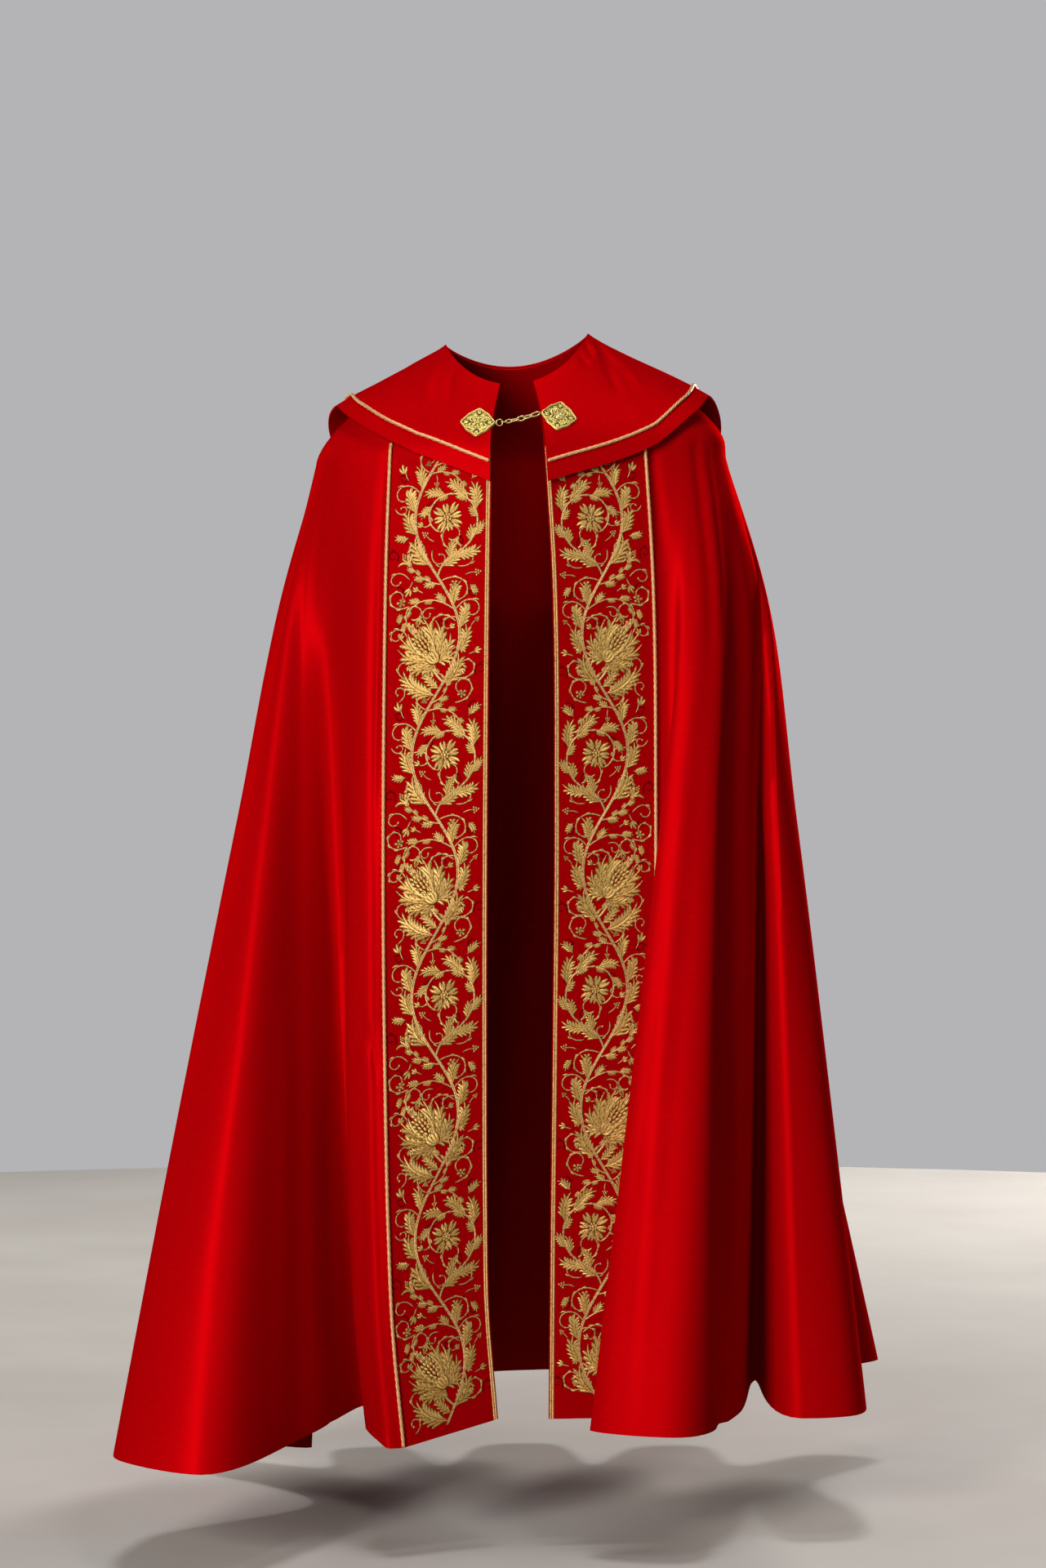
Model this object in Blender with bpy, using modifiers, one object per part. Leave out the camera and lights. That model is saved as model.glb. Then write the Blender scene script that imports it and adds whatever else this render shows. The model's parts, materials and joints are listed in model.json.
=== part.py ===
"""Cope: a red semicircular cloak on a general figure, with gold bands, a shoulder collar and a chain clasp.

Metres, +Z up. The front faces -Y and the wearer's right is at -X. The origin is the middle of the neck
opening, where the wearer's shoulders hold the garment.
"""
import math

import bpy
import numpy as np
from mathutils import Matrix, Vector

# cloth and seams
CLOTH = 0.0020
BAND_CLOTH = 0.0022
COLLAR_CLOTH = 0.0025
SEAM_GAP = 0.0003
LAID_ON = 0.0003
BRAID_LIFT = 0.0006

# the two embroidered front bands and their trims
BAND_WIDTH = 0.130
CORD_RADIUS = 0.0023
CORD_TOP = 0.86
BRAID_WIDTH = 0.0055
BRAID_INSET = 0.0010
BRAID_THICK = 0.0011
BRAID_TOP = 1.045

# neck opening
NECK_HALF = 0.0885
NECK_FRONT = 0.110
NECK_BACK = 0.072
NECK_SIDE_Z = 0.012
NECK_TILT = 0.080
NECK_FRONT_DROP = 0.070
NECK_BACK_DROP = 0.026
NECK_EDGES = (-0.0200, 0.0205)

# the form that the shoulders hold out, before the folds begin
SHOULDER_Z = -0.138
SHOULDER_TILT = 0.050
SHOULDER_SLOPE = 0.55
SQUARENESS = 2.4
RING_EDGES = (-0.031, 0.034)
# height, half width on the wearer's right and left, depth in front and behind
SECTIONS = [
    (-1.40, 0.297, 0.325, 0.155, 0.175),
    (-0.60, 0.286, 0.318, 0.152, 0.170),
    (-0.30, 0.279, 0.307, 0.150, 0.165),
    (-0.138, 0.256, 0.268, 0.142, 0.150),
]

# front bands below the shoulder: share of the way down, place of the free edge, and how far the seam
# side of the band is turned forward, in degrees
RIGHT_BAND = [
    (0.000, -0.0310, -0.142, -12),
    (0.125, -0.0330, -0.150, -4),
    (0.375, -0.0355, -0.158, 4),
    (0.625, -0.0363, -0.164, 14),
    (0.790, -0.0356, -0.167, 20),
    (0.880, -0.0340, -0.168, 24),
    (1.000, -0.0229, -0.170, 27),
]
LEFT_BAND = [
    (0.000, 0.0340, -0.142, -14),
    (0.125, 0.0430, -0.150, -14),
    (0.375, 0.0465, -0.157, -13),
    (0.625, 0.0440, -0.163, -11),
    (0.790, 0.0417, -0.167, -10),
    (1.000, 0.0397, -0.170, -8),
]
RIGHT_HEM_Z = (-1.342, -1.367)
LEFT_HEM_Z = (-1.342, -1.343)

# the body's hem, from the right seam round the back to the left seam: a row for each crest, hollow or
# turn. Root is the share of the shoulder line that lies before the fold, and start is the share of the way
# down at which the fold begins.
HEM = [
    # name, x, y, z, root, start
    ("right seam", -0.1385, -0.2290, -1.367, 0.000, 0.00),
    ("beside right seam", -0.157, -0.236, -1.366, 0.012, 0.00),
    ("right turn", -0.174, -0.205, -1.360, 0.030, 0.00),
    ("right hollow", -0.190, -0.060, -1.345, 0.075, 0.00),
    ("right front slope", -0.254, -0.195, -1.356, 0.120, 0.00),
    ("right front crest", -0.372, -0.368, -1.372, 0.165, 0.00),
    ("right corner", -0.478, -0.300, -1.368, 0.205, 0.00),
    ("right side", -0.468, -0.130, -1.372, 0.250, 0.00),
    ("right rear hollow", -0.272, 0.110, -1.428, 0.305, 0.06),
    ("right rear slope", -0.345, 0.215, -1.425, 0.335, 0.10),
    ("right rear crest", -0.430, 0.310, -1.418, 0.360, 0.12),
    ("right rear turn", -0.385, 0.370, -1.412, 0.380, 0.12),
    ("back hollow 1", -0.265, 0.330, -1.404, 0.412, 0.13),
    ("back crest 1", -0.250, 0.465, -1.400, 0.442, 0.14),
    ("back turn 1", -0.180, 0.485, -1.398, 0.460, 0.14),
    ("back hollow 2", -0.100, 0.345, -1.396, 0.490, 0.15),
    ("back crest 2", -0.035, 0.500, -1.395, 0.520, 0.15),
    ("back turn 2", 0.040, 0.510, -1.393, 0.538, 0.15),
    ("back hollow 3", 0.105, 0.350, -1.388, 0.568, 0.15),
    ("back crest 3", 0.180, 0.485, -1.383, 0.598, 0.14),
    ("back turn 3", 0.255, 0.490, -1.378, 0.615, 0.14),
    ("back hollow 4", 0.305, 0.345, -1.368, 0.645, 0.13),
    ("left rear turn", 0.420, 0.425, -1.362, 0.672, 0.12),
    ("left rear crest", 0.494, 0.400, -1.360, 0.690, 0.12),
    ("left rear hollow", 0.400, 0.205, -1.350, 0.722, 0.08),
    ("left side", 0.441, 0.020, -1.345, 0.760, 0.03),
    ("left corner", 0.416, -0.135, -1.345, 0.795, 0.00),
    ("left front slope", 0.352, -0.150, -1.345, 0.820, 0.00),
    ("left hollow", 0.309, 0.050, -1.330, 0.850, 0.00),
    ("left roll back", 0.278, -0.120, -1.345, 0.880, 0.00),
    ("left roll crest", 0.200, -0.268, -1.347, 0.912, 0.00),
    ("left roll turn", 0.090, -0.230, -1.345, 0.945, 0.00),
    ("beside left seam", 0.186, -0.1495, -1.343, 0.985, 0.00),
    ("left seam", 0.1690, -0.1516, -1.343, 1.000, 0.00),
]
SEAM_FADE = 0.13

# columns of the cloth grid and its rows
BODY_COLUMNS_PER_FOLD = 3
BAND_COLUMNS = 4
YOKE_ROWS = 5
SKIRT_ROWS = 14
PANEL_SEAMS = ("right rear hollow", "back hollow 2", "left rear hollow")
PANELS = ("body_front_right", "body_back_right", "body_back_left", "body_front_left")

# shoulder collar: share of the shoulder line, height on the body under its edge, and how far the edge
# stands off the body
COLLAR = [
    (0.000, -0.181, 0.008),
    (0.102, -0.130, 0.010),
    (0.157, -0.103, 0.013),
    (0.215, -0.089, 0.021),
    (0.250, -0.098, 0.025),
    (0.300, -0.128, 0.019),
    (0.400, -0.235, 0.010),
    (0.500, -0.320, 0.009),
    (0.600, -0.235, 0.010),
    (0.700, -0.125, 0.016),
    (0.750, -0.084, 0.022),
    (0.785, -0.076, 0.019),
    (0.843, -0.098, 0.013),
    (0.898, -0.137, 0.010),
    (1.000, -0.181, 0.008),
]
COLLAR_NECK_LIFT = 0.0022
COLLAR_COLUMNS = 44
COLLAR_ROWS = 5
COLLAR_CORD_INSET = 0.025
COLLAR_CORD_RADIUS = 0.0023

# clasp plates: middle x and z, half width, half height, turn in degrees
RIGHT_PLATE = (-0.0490, -0.1070, 0.0230, 0.0200, -3)
LEFT_PLATE = (0.0525, -0.0980, 0.0232, 0.0208, -12)
PLATE_THICK = 0.0018
PLATE_RIM = 0.0011
PLATE_LOBE = 0.10
PLATE_POINTS = 40
BOSS_RADIUS = 0.0052
BOSS_HEIGHT = 0.0030
PLATE_STANDOFF = 0.0004

# chain links from the right plate to the left one: half length, half width, wire radius and the link's
# turn about the chain's line, in degrees from upright
CHAIN = [
    ("jump_ring", 0.0044, 0.0044, 0.00060, 5),
    ("small_link_1", 0.0044, 0.0027, 0.00060, 95),
    ("small_link_2", 0.0044, 0.0027, 0.00060, 15),
    ("curb_link_1", 0.0062, 0.0038, 0.00085, 115),
    ("curb_link_2", 0.0062, 0.0038, 0.00085, 35),
    ("curb_link_3", 0.0062, 0.0038, 0.00085, 125),
    ("hook_link", 0.0074, 0.0034, 0.00085, 38),
]
CHAIN_SAG = 0.0020
LINK_SLACK = 0.0004
LINK_POINTS = 16
LINK_SQUARENESS = 0.8

RED = (0.62, 0.004, 0.008)
BAND_RED = (0.50, 0.004, 0.007)
PALE_GOLD = (0.72, 0.50, 0.20)
BRAID_GOLD = (0.62, 0.36, 0.11)
METAL_GOLD = (0.83, 0.60, 0.18)


def smooth(keys, values, at):
    """Values at the given keys, on a smooth curve through the table's own."""
    keys, values = np.asarray(keys, float), np.asarray(values, float)
    values = values.reshape(len(keys), -1)
    gaps = np.diff(keys)[:, None]
    slopes = np.diff(values, axis=0) / gaps
    tangents = np.empty_like(values)
    tangents[0], tangents[-1] = slopes[0], slopes[-1]
    tangents[1:-1] = (slopes[:-1] * gaps[1:] + slopes[1:] * gaps[:-1]) / (gaps[1:] + gaps[:-1])
    at = np.clip(at, keys[0], keys[-1])
    low = np.clip(np.searchsorted(keys, at, side="right") - 1, 0, len(keys) - 2)
    gap = np.diff(keys)[low][..., None]
    t = (at - keys[low])[..., None] / gap
    start = values[low] * (2 * t**3 - 3 * t**2 + 1) + tangents[low] * gap * (t**3 - 2 * t**2 + t)
    end = values[low + 1] * (3 * t**2 - 2 * t**3) + tangents[low + 1] * gap * (t**3 - t**2)
    return start + end


def run_lengths(points):
    """Distance of each point along its path, measured in plan."""
    steps = np.linalg.norm(np.diff(points[:, :2], axis=0), axis=1)
    return np.concatenate([[0], np.cumsum(steps)])


def sweep(half, edges, power):
    """Sines and cosines of the angles from one front edge round the back to the other."""
    first = -math.asin((abs(edges[0]) / half) ** (1 / power))
    last = math.asin((abs(edges[1]) / half) ** (1 / power))
    angle = np.linspace(first, last - 2 * math.pi, 721)
    return np.sin(angle), np.cos(angle)


def neck_line():
    s, c = sweep(NECK_HALF, NECK_EDGES, 1)
    front = np.clip(c, 0, 1)
    back = np.clip(-c, 0, 1)
    z = NECK_SIDE_Z + NECK_TILT * NECK_HALF * s - NECK_FRONT_DROP * front**1.4 - NECK_BACK_DROP * back**2
    return np.stack([NECK_HALF * s, NECK_BACK * back - NECK_FRONT * front, z], axis=1)


def shoulder_line():
    _, right, left, front, back = SECTIONS[-1]
    power = 2 / SQUARENESS
    s, c = sweep((right + left) / 2, RING_EDGES, power)
    x = np.sign(s) * np.abs(s) ** power * np.where(s < 0, right, left)
    y = np.abs(c) ** power * np.where(c > 0, -front, back)
    return np.stack([x, y, SHOULDER_Z + SHOULDER_TILT * x], axis=1)


NECK = neck_line()
NECK_RUN = run_lengths(NECK)
SHOULDER = shoulder_line()
SHOULDER_RUN = run_lengths(SHOULDER)
HEM_NAMES = [row[0] for row in HEM]
HEM_POINTS = np.array([row[1:4] for row in HEM])
HEM_RUN = run_lengths(HEM_POINTS)
HEM_ROOTS = [row[4] for row in HEM]
HEM_STARTS = [row[5] for row in HEM]
LAST_FOLD = len(HEM) - 1


def on_line(line, run, reach):
    """Points of a line at distances along it."""
    return np.stack([np.interp(reach, run, line[:, k]) for k in range(3)], axis=-1)


def body_share(folds):
    """Share of the shoulder line between the seams, at places counted in folds along the hem table."""
    return np.interp(folds, np.arange(LAST_FOLD + 1), HEM_ROOTS)


def reach_between_seams(run, share):
    return BAND_WIDTH + (run[-1] - 2 * BAND_WIDTH) * share


def band_skirt(table, hem_z, side, across, down):
    """A front band below the shoulder line. Across is 0 at the free edge and 1 at the seam."""
    edge_x, edge_y, turn = np.moveaxis(smooth([r[0] for r in table], [r[1:] for r in table], down), -1, 0)
    turn = np.radians(turn)
    x = edge_x + side * BAND_WIDTH * across * np.cos(turn)
    y = edge_y - BAND_WIDTH * across * np.sin(turn)
    top = SHOULDER_Z + SHOULDER_TILT * x
    low = hem_z[0] + (hem_z[1] - hem_z[0]) * across
    return np.stack([x, y, top + (low - top) * down], axis=-1)


def body_skirt(folds, down):
    """The body below the shoulder line: held-out form and hem, mixed by how far each fold has grown."""
    share = body_share(folds)
    shoulder = on_line(SHOULDER, SHOULDER_RUN, reach_between_seams(SHOULDER_RUN, share))
    reach = np.interp(folds, np.arange(LAST_FOLD + 1), HEM_RUN)
    hem = smooth(HEM_RUN, HEM_POINTS, reach)
    z = shoulder[..., 2] + (hem[..., 2] - shoulder[..., 2]) * down
    right, left, front, back = np.moveaxis(smooth([r[0] for r in SECTIONS], [r[1:] for r in SECTIONS], z), -1, 0)
    _, right_0, left_0, front_0, back_0 = SECTIONS[-1]
    wide = np.where(shoulder[..., 0] < 0, right / right_0, left / left_0)
    deep = np.where(shoulder[..., 1] < 0, front / front_0, back / back_0)
    start = np.interp(folds, np.arange(LAST_FOLD + 1), HEM_STARTS)
    grown = np.clip((down - start) / (1 - start), 0, 1)
    x = shoulder[..., 0] * wide * (1 - grown) + hem[..., 0] * grown
    y = shoulder[..., 1] * deep * (1 - grown) + hem[..., 1] * grown
    return np.stack([x, y, z], axis=-1)


def joined_skirt(folds, down):
    """The body's skirt, drawn over at both seams so that it meets the front bands."""
    points = body_skirt(folds, down)
    share = body_share(folds)
    ends = (
        (share, 0, RIGHT_BAND, RIGHT_HEM_Z, -1),
        (1 - share, LAST_FOLD, LEFT_BAND, LEFT_HEM_Z, 1),
    )
    for away, fold, table, hem_z, side in ends:
        seam = band_skirt(table, hem_z, side, np.ones_like(down), down)
        offset = seam - body_skirt(np.full_like(down, fold), down)
        hold = np.cos(np.clip(away / SEAM_FADE, 0, 1) * math.pi / 2) ** 2
        points = points + offset * hold[..., None]
    return points


def yoke(neck, shoulder, down):
    """From the neck line over the shoulders to the shoulder line."""
    angle = (down * math.pi / 2)[..., None]
    out = np.sin(angle)
    fall = SHOULDER_SLOPE * np.sin(angle) + (1 - SHOULDER_SLOPE) * (1 - np.cos(angle))
    plan = neck[..., :2] + (shoulder[..., :2] - neck[..., :2]) * out
    z = neck[..., 2:] + (shoulder[..., 2:] - neck[..., 2:]) * fall
    return np.concatenate([plan, z], axis=-1)


def body_at(folds, down):
    """The body's outer face. Down is 0 at the neck, 1 at the shoulder line and 2 at the hem."""
    folds, down = np.broadcast_arrays(np.asarray(folds, float), np.asarray(down, float))
    neck = on_line(NECK, NECK_RUN, reach_between_seams(NECK_RUN, body_share(folds)))
    over = yoke(neck, joined_skirt(folds, np.zeros_like(down)), np.clip(down, 0, 1))
    below = joined_skirt(folds, np.clip(down - 1, 0, 1))
    return np.where((down < 1)[..., None], over, below)


def band_at(side, across, down):
    """The outer face of the front band on one side, -1 for the wearer's right and 1 for the left."""
    across, down = np.broadcast_arrays(np.asarray(across, float), np.asarray(down, float))
    table, hem_z = (RIGHT_BAND, RIGHT_HEM_Z) if side < 0 else (LEFT_BAND, LEFT_HEM_Z)
    reach = BAND_WIDTH * across
    neck = on_line(NECK, NECK_RUN, reach if side < 0 else NECK_RUN[-1] - reach)
    shoulder = band_skirt(table, hem_z, side, across, np.zeros_like(down))
    over = yoke(neck, shoulder, np.clip(down, 0, 1))
    below = band_skirt(table, hem_z, side, across, np.clip(down - 1, 0, 1))
    return np.where((down < 1)[..., None], over, below)


def around_at(share, down):
    """The whole garment's outer face, by share of the shoulder line from the right front edge."""
    share, down = np.broadcast_arrays(np.asarray(share, float), np.asarray(down, float))
    reach = share * SHOULDER_RUN[-1]
    right = band_at(-1, np.clip(reach / BAND_WIDTH, 0, 1), down)
    left = band_at(1, np.clip((SHOULDER_RUN[-1] - reach) / BAND_WIDTH, 0, 1), down)
    between = np.clip((reach - BAND_WIDTH) / (SHOULDER_RUN[-1] - 2 * BAND_WIDTH), 0, 1)
    middle = body_at(np.interp(between, HEM_ROOTS, np.arange(LAST_FOLD + 1)), down)
    on_right = (reach < BAND_WIDTH)[..., None]
    on_left = (reach > SHOULDER_RUN[-1] - BAND_WIDTH)[..., None]
    return np.where(on_right, right, np.where(on_left, left, middle))


def outward(grid):
    """Unit normals of a grid whose columns run round the garment and whose rows run down."""
    round_it = np.gradient(grid, axis=1)
    down_it = np.gradient(grid, axis=0)
    normals = np.cross(round_it, down_it)
    return normals / np.linalg.norm(normals, axis=2, keepdims=True)


def rows_down():
    over = np.linspace(0, 1, YOKE_ROWS + 1)
    below = np.linspace(1, 2, SKIRT_ROWS + 1)
    return np.concatenate([over, below[1:]])


def pull_in(grid, column, towards):
    """Move one edge column off its seam by half the gap."""
    step = grid[:, towards] - grid[:, column]
    grid[:, column] += step / np.linalg.norm(step, axis=1, keepdims=True) * SEAM_GAP * 0.75
    return grid


def material(name, colour, roughness, metallic=0.0):
    found = bpy.data.materials.get(name)
    if found:
        return found
    made = bpy.data.materials.new(name)
    made.use_nodes = True
    shader = made.node_tree.nodes["Principled BSDF"]
    shader.inputs["Base Color"].default_value = (*colour, 1)
    shader.inputs["Roughness"].default_value = roughness
    shader.inputs["Metallic"].default_value = metallic
    return made


def keep(obj, finish):
    """Put a finished object in the cope's collection, under the cope's empty."""
    for holder in list(obj.users_collection):
        holder.objects.unlink(obj)
    PARTS.objects.link(obj)
    obj.parent = ROOT
    obj.data.materials.clear()
    obj.data.materials.append(finish)
    return obj


def cloth(name, grid, thickness, finish, offset=-1):
    """An open sheet from a grid of points, thickened on one side: -1 inwards, 1 outwards."""
    rows, columns = grid.shape[:2]
    corners = np.arange(rows * columns).reshape(rows, columns)
    faces = np.stack([corners[:-1, :-1], corners[:-1, 1:], corners[1:, 1:], corners[1:, :-1]], axis=-1)
    mesh = bpy.data.meshes.new(name)
    mesh.from_pydata(grid.reshape(-1, 3).tolist(), [], faces.reshape(-1, 4).tolist())
    obj = bpy.data.objects.new(name, mesh)
    wall = obj.modifiers.new("wall", "SOLIDIFY")
    wall.thickness = thickness
    wall.offset = offset
    return keep(obj, finish)


def cord(name, points, radius, finish):
    curve = bpy.data.curves.new(name, "CURVE")
    curve.dimensions = "3D"
    curve.bevel_depth = radius
    curve.bevel_resolution = 1
    curve.use_fill_caps = True
    spline = curve.splines.new("POLY")
    spline.points.add(len(points) - 1)
    for point, place in zip(spline.points, points):
        point.co = (*place, 1)
    return keep(bpy.data.objects.new(name, curve), finish)


def body(finish):
    """Four panels of the semicircle, seamed in the hollows behind the sides and near the middle back."""
    seams = [0] + [HEM_NAMES.index(name) for name in PANEL_SEAMS] + [LAST_FOLD]
    down = rows_down()[:, None]
    for name, start, end in zip(PANELS, seams, seams[1:]):
        folds = np.linspace(start, end, (end - start) * BODY_COLUMNS_PER_FOLD + 1)[None, :]
        grid = pull_in(pull_in(body_at(folds, down), 0, 1), -1, -2)
        cloth(name, grid, CLOTH, finish)


def bands(finish):
    down = rows_down()[:, None]
    across = np.linspace(0, 1, BAND_COLUMNS + 1)[None, :]
    right = pull_in(band_at(-1, across, down), -1, -2)
    cloth("orphrey_right", right, BAND_CLOTH, finish)
    left = pull_in(band_at(1, across[:, ::-1], down), 0, 1)
    cloth("orphrey_left", left, BAND_CLOTH, finish)


def band_normals(side, across, down):
    """Outward normals of a band along one line down it."""
    step = 0.02
    near = band_at(side, across - step, down)
    far = band_at(side, across + step, down)
    along = np.gradient(band_at(side, across, down), axis=0)
    normals = np.cross((far - near) * -side, along)
    return normals / np.linalg.norm(normals, axis=1, keepdims=True)


def band_trims(cord_finish, braid_finish):
    """The cord over each outer seam and the flat braid along each free edge."""
    below = np.linspace(1, 2, SKIRT_ROWS + 1)
    seam_rows = np.concatenate([[CORD_TOP], below])
    braid_rows = np.concatenate([[BRAID_TOP], below[1:]])
    for name, side in (("right", -1), ("left", 1)):
        across = np.full(len(seam_rows), 1.0)
        lift = CORD_RADIUS + LAID_ON
        line = band_at(side, across, seam_rows) + band_normals(side, across - 0.03, seam_rows) * lift
        cord("outer_cord_" + name, line, CORD_RADIUS, cord_finish)
        columns = [BRAID_INSET / BAND_WIDTH, (BRAID_INSET + BRAID_WIDTH) / BAND_WIDTH]
        strip = [
            band_at(side, np.full(len(braid_rows), c), braid_rows)
            + band_normals(side, np.full(len(braid_rows), c), braid_rows) * BRAID_LIFT
            for c in (columns if side < 0 else columns[::-1])
        ]
        cloth("inner_braid_" + name, np.stack(strip, axis=1), BRAID_THICK, braid_finish, offset=1)


def collar_grid(shares, steps):
    """The collar's inner face: the body's own points, moved out further towards the collar's edge.

    Steps run from 0 at the neck to 1 at the collar's edge, a row for each and a column for each share.
    """
    keys = [row[0] for row in COLLAR]
    edge_z, edge_lift = np.moveaxis(smooth(keys, [row[1:] for row in COLLAR], shares), -1, 0)
    deep = np.linspace(0, 1.3, 131)
    full = around_at(shares[None, :], deep[:, None])
    edge = np.array([np.interp(-z, -full[:, k, 2], deep) for k, z in enumerate(edge_z)])
    base = around_at(shares[None, :], edge[None, :] * steps)
    lift = COLLAR_NECK_LIFT + (edge_lift[None, :] - COLLAR_NECK_LIFT) * steps**1.4
    return base + outward(base) * lift[..., None]


def collar_rows(shares):
    """Steps of the collar's rows: even ones down to the cord's own line, then the edge."""
    steps = np.linspace(0, 1, 41)
    fine = collar_grid(shares, np.repeat(steps[:, None], len(shares), axis=1))
    lengths = np.linalg.norm(np.diff(fine, axis=0), axis=2)
    from_edge = np.concatenate([np.cumsum(lengths[::-1], axis=0)[::-1], np.zeros((1, len(shares)))])
    cord_step = np.array([np.interp(-COLLAR_CORD_INSET, -from_edge[:, k], steps) for k in range(len(shares))])
    above = np.linspace(0, 1, COLLAR_ROWS)[:, None] * cord_step[None, :]
    return np.concatenate([above, np.ones((1, len(shares)))])


def collar(finish, cord_finish):
    shares = np.linspace(0, 1, COLLAR_COLUMNS + 1)
    grid = collar_grid(shares, collar_rows(shares))
    cloth("collar", grid, COLLAR_CLOTH, finish, offset=1)
    raised = grid + outward(grid) * (COLLAR_CLOTH + COLLAR_CORD_RADIUS + LAID_ON)
    cord("collar_cord", raised[-2], COLLAR_CORD_RADIUS, cord_finish)


def on_collar(x, z):
    """The collar's outer face and normal in front, at a given x and z."""
    shares = np.linspace(0, 0.16, 81) if x < 0 else np.linspace(0.84, 1, 81)
    grid = collar_grid(shares, np.repeat(np.linspace(0, 1, 81)[:, None], 81, axis=1))
    normals = outward(grid)
    face = grid + normals * COLLAR_CLOTH
    miss = (face[..., 0] - x) ** 2 + (face[..., 2] - z) ** 2
    place = np.unravel_index(np.argmin(miss), miss.shape)
    return Vector(face[place]), Vector(normals[place])


def plate_outline(half_wide, half_high):
    """A rhombus with softly lobed sides."""
    points = []
    for k in range(PLATE_POINTS):
        angle = 2 * math.pi * k / PLATE_POINTS
        c, s = abs(math.cos(angle)), abs(math.sin(angle))
        reach = 1 / (c**1.35 + s**1.35) ** (1 / 1.35)
        reach *= 1 - PLATE_LOBE * 0.5 * (1 - math.cos(8 * angle)) * 0.5
        points.append((half_wide * reach * math.cos(angle), half_high * reach * math.sin(angle), 0.0))
    return points


def plate(name, spec, finish):
    """A flat lobed plate with a bevelled edge, a raised rim and a domed boss, laid on the collar."""
    x, z, half_wide, half_high, turn = spec
    point, normal = on_collar(x, z)
    upright = Vector((0, 0, 1))
    sideways = upright.cross(normal).normalized()
    frame = Matrix((sideways, normal.cross(sideways), normal)).transposed().to_4x4()
    place = Matrix.Translation(point + normal * PLATE_STANDOFF) @ frame
    place = place @ Matrix.Rotation(math.radians(turn), 4, "Z")

    outline = plate_outline(half_wide, half_high)
    mesh = bpy.data.meshes.new(name)
    mesh.from_pydata(outline, [], [list(range(PLATE_POINTS))])
    obj = bpy.data.objects.new(name, mesh)
    wall = obj.modifiers.new("wall", "SOLIDIFY")
    wall.thickness = PLATE_THICK
    wall.offset = 1
    keep(obj, finish)
    obj.matrix_world = place

    rim_points = [Vector(p) * 0.93 + Vector((0, 0, PLATE_THICK + PLATE_RIM + LAID_ON)) for p in outline[::2]]
    rim = cord(name + "_rim", rim_points, PLATE_RIM, finish)
    rim.data.splines[0].use_cyclic_u = True
    rim.matrix_world = place

    bpy.ops.mesh.primitive_uv_sphere_add(segments=12, ring_count=6, radius=1)
    boss = bpy.context.object
    boss.name = name + "_boss"
    boss.scale = (BOSS_RADIUS, BOSS_RADIUS, BOSS_HEIGHT / 2)
    keep(boss, finish)
    lifted = Matrix.Translation((0, 0, PLATE_THICK + LAID_ON + BOSS_HEIGHT / 2))
    boss.matrix_world = place @ lifted @ Matrix.Diagonal((*boss.scale, 1))
    return place


def link(name, middle, along, half_long, half_wide, wire, turn, finish):
    """One closed link: an oval loop of wire, turned about the chain's own line."""
    side = Vector((0, 0, 1)).cross(along).normalized()
    flat = Matrix.Rotation(math.radians(turn), 3, along) @ along.cross(side)
    points = []
    for k in range(LINK_POINTS):
        angle = 2 * math.pi * k / LINK_POINTS
        c, s = math.cos(angle), math.sin(angle)
        long = (half_long - wire) * math.copysign(abs(c) ** LINK_SQUARENESS, c)
        wide = (half_wide - wire) * math.copysign(abs(s) ** LINK_SQUARENESS, s)
        points.append(middle + along * long + flat * wide)
    made = cord(name, points, wire, finish)
    made.data.splines[0].use_cyclic_u = True
    return made


def link_places(links):
    """Each link's middle and the whole length, with each link hooked through the one before."""
    places = [links[0][1]]
    for before, after in zip(links, links[1:]):
        straight = before[1] - before[3] + after[1] - after[3]
        places.append(places[-1] + straight - before[3] - after[3] - LINK_SLACK)
    return places, places[-1] + links[-1][1]


def chain(start, end, finish):
    """Links that hang through each other between the plates' tips. The hook link fills what is left."""
    span = end - start
    _, total = link_places(CHAIN)
    spare = span.length - total - 2 * LAID_ON
    name, half_long, *rest = CHAIN[-1]
    links = CHAIN[:-1] + [(name, half_long + spare / 2, *rest)]
    places, _ = link_places(links)
    for (name, half_long, half_wide, wire, turn), place in zip(links, places):
        share = (place + LAID_ON) / span.length
        drop = Vector((0, 0, -CHAIN_SAG * 4 * share * (1 - share)))
        along = (span - Vector((0, 0, CHAIN_SAG * 4 * (1 - 2 * share)))).normalized()
        link(name, start + span * share + drop, along, half_long, half_wide, wire, turn, finish)


for old in list(bpy.data.objects):
    bpy.data.objects.remove(old, do_unlink=True)

PARTS = bpy.data.collections.new("cope")
bpy.context.scene.collection.children.link(PARTS)
ROOT = bpy.data.objects.new("cope_origin", None)
PARTS.objects.link(ROOT)


def main():
    red = material("red_wool_satin", RED, 0.55)
    band_red = material("red_band_cloth", BAND_RED, 0.6)
    pale_gold = material("pale_gold_cord", PALE_GOLD, 0.4, 0.4)
    braid_gold = material("gold_braid", BRAID_GOLD, 0.4, 0.4)
    metal = material("gilt_metal", METAL_GOLD, 0.25, 1.0)
    body(red)
    bands(band_red)
    band_trims(pale_gold, braid_gold)
    collar(red, pale_gold)
    right = plate("clasp_plate_right", RIGHT_PLATE, metal)
    left = plate("clasp_plate_left", LEFT_PLATE, metal)
    lift = PLATE_THICK / 2
    start = right @ Vector((RIGHT_PLATE[2], 0, lift))
    end = left @ Vector((-LEFT_PLATE[2], 0, lift))
    chain(start, end, metal)


main()
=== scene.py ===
"""Worn red cope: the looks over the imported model.

A near-semicircle of red satin-faced wool with two embroidered front bands, a shoulder collar, gold cords
and braids, and a gilt clasp with a chain. Metres, +Z up, the front towards -Y, the wearer's right towards -X.
"""

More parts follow.
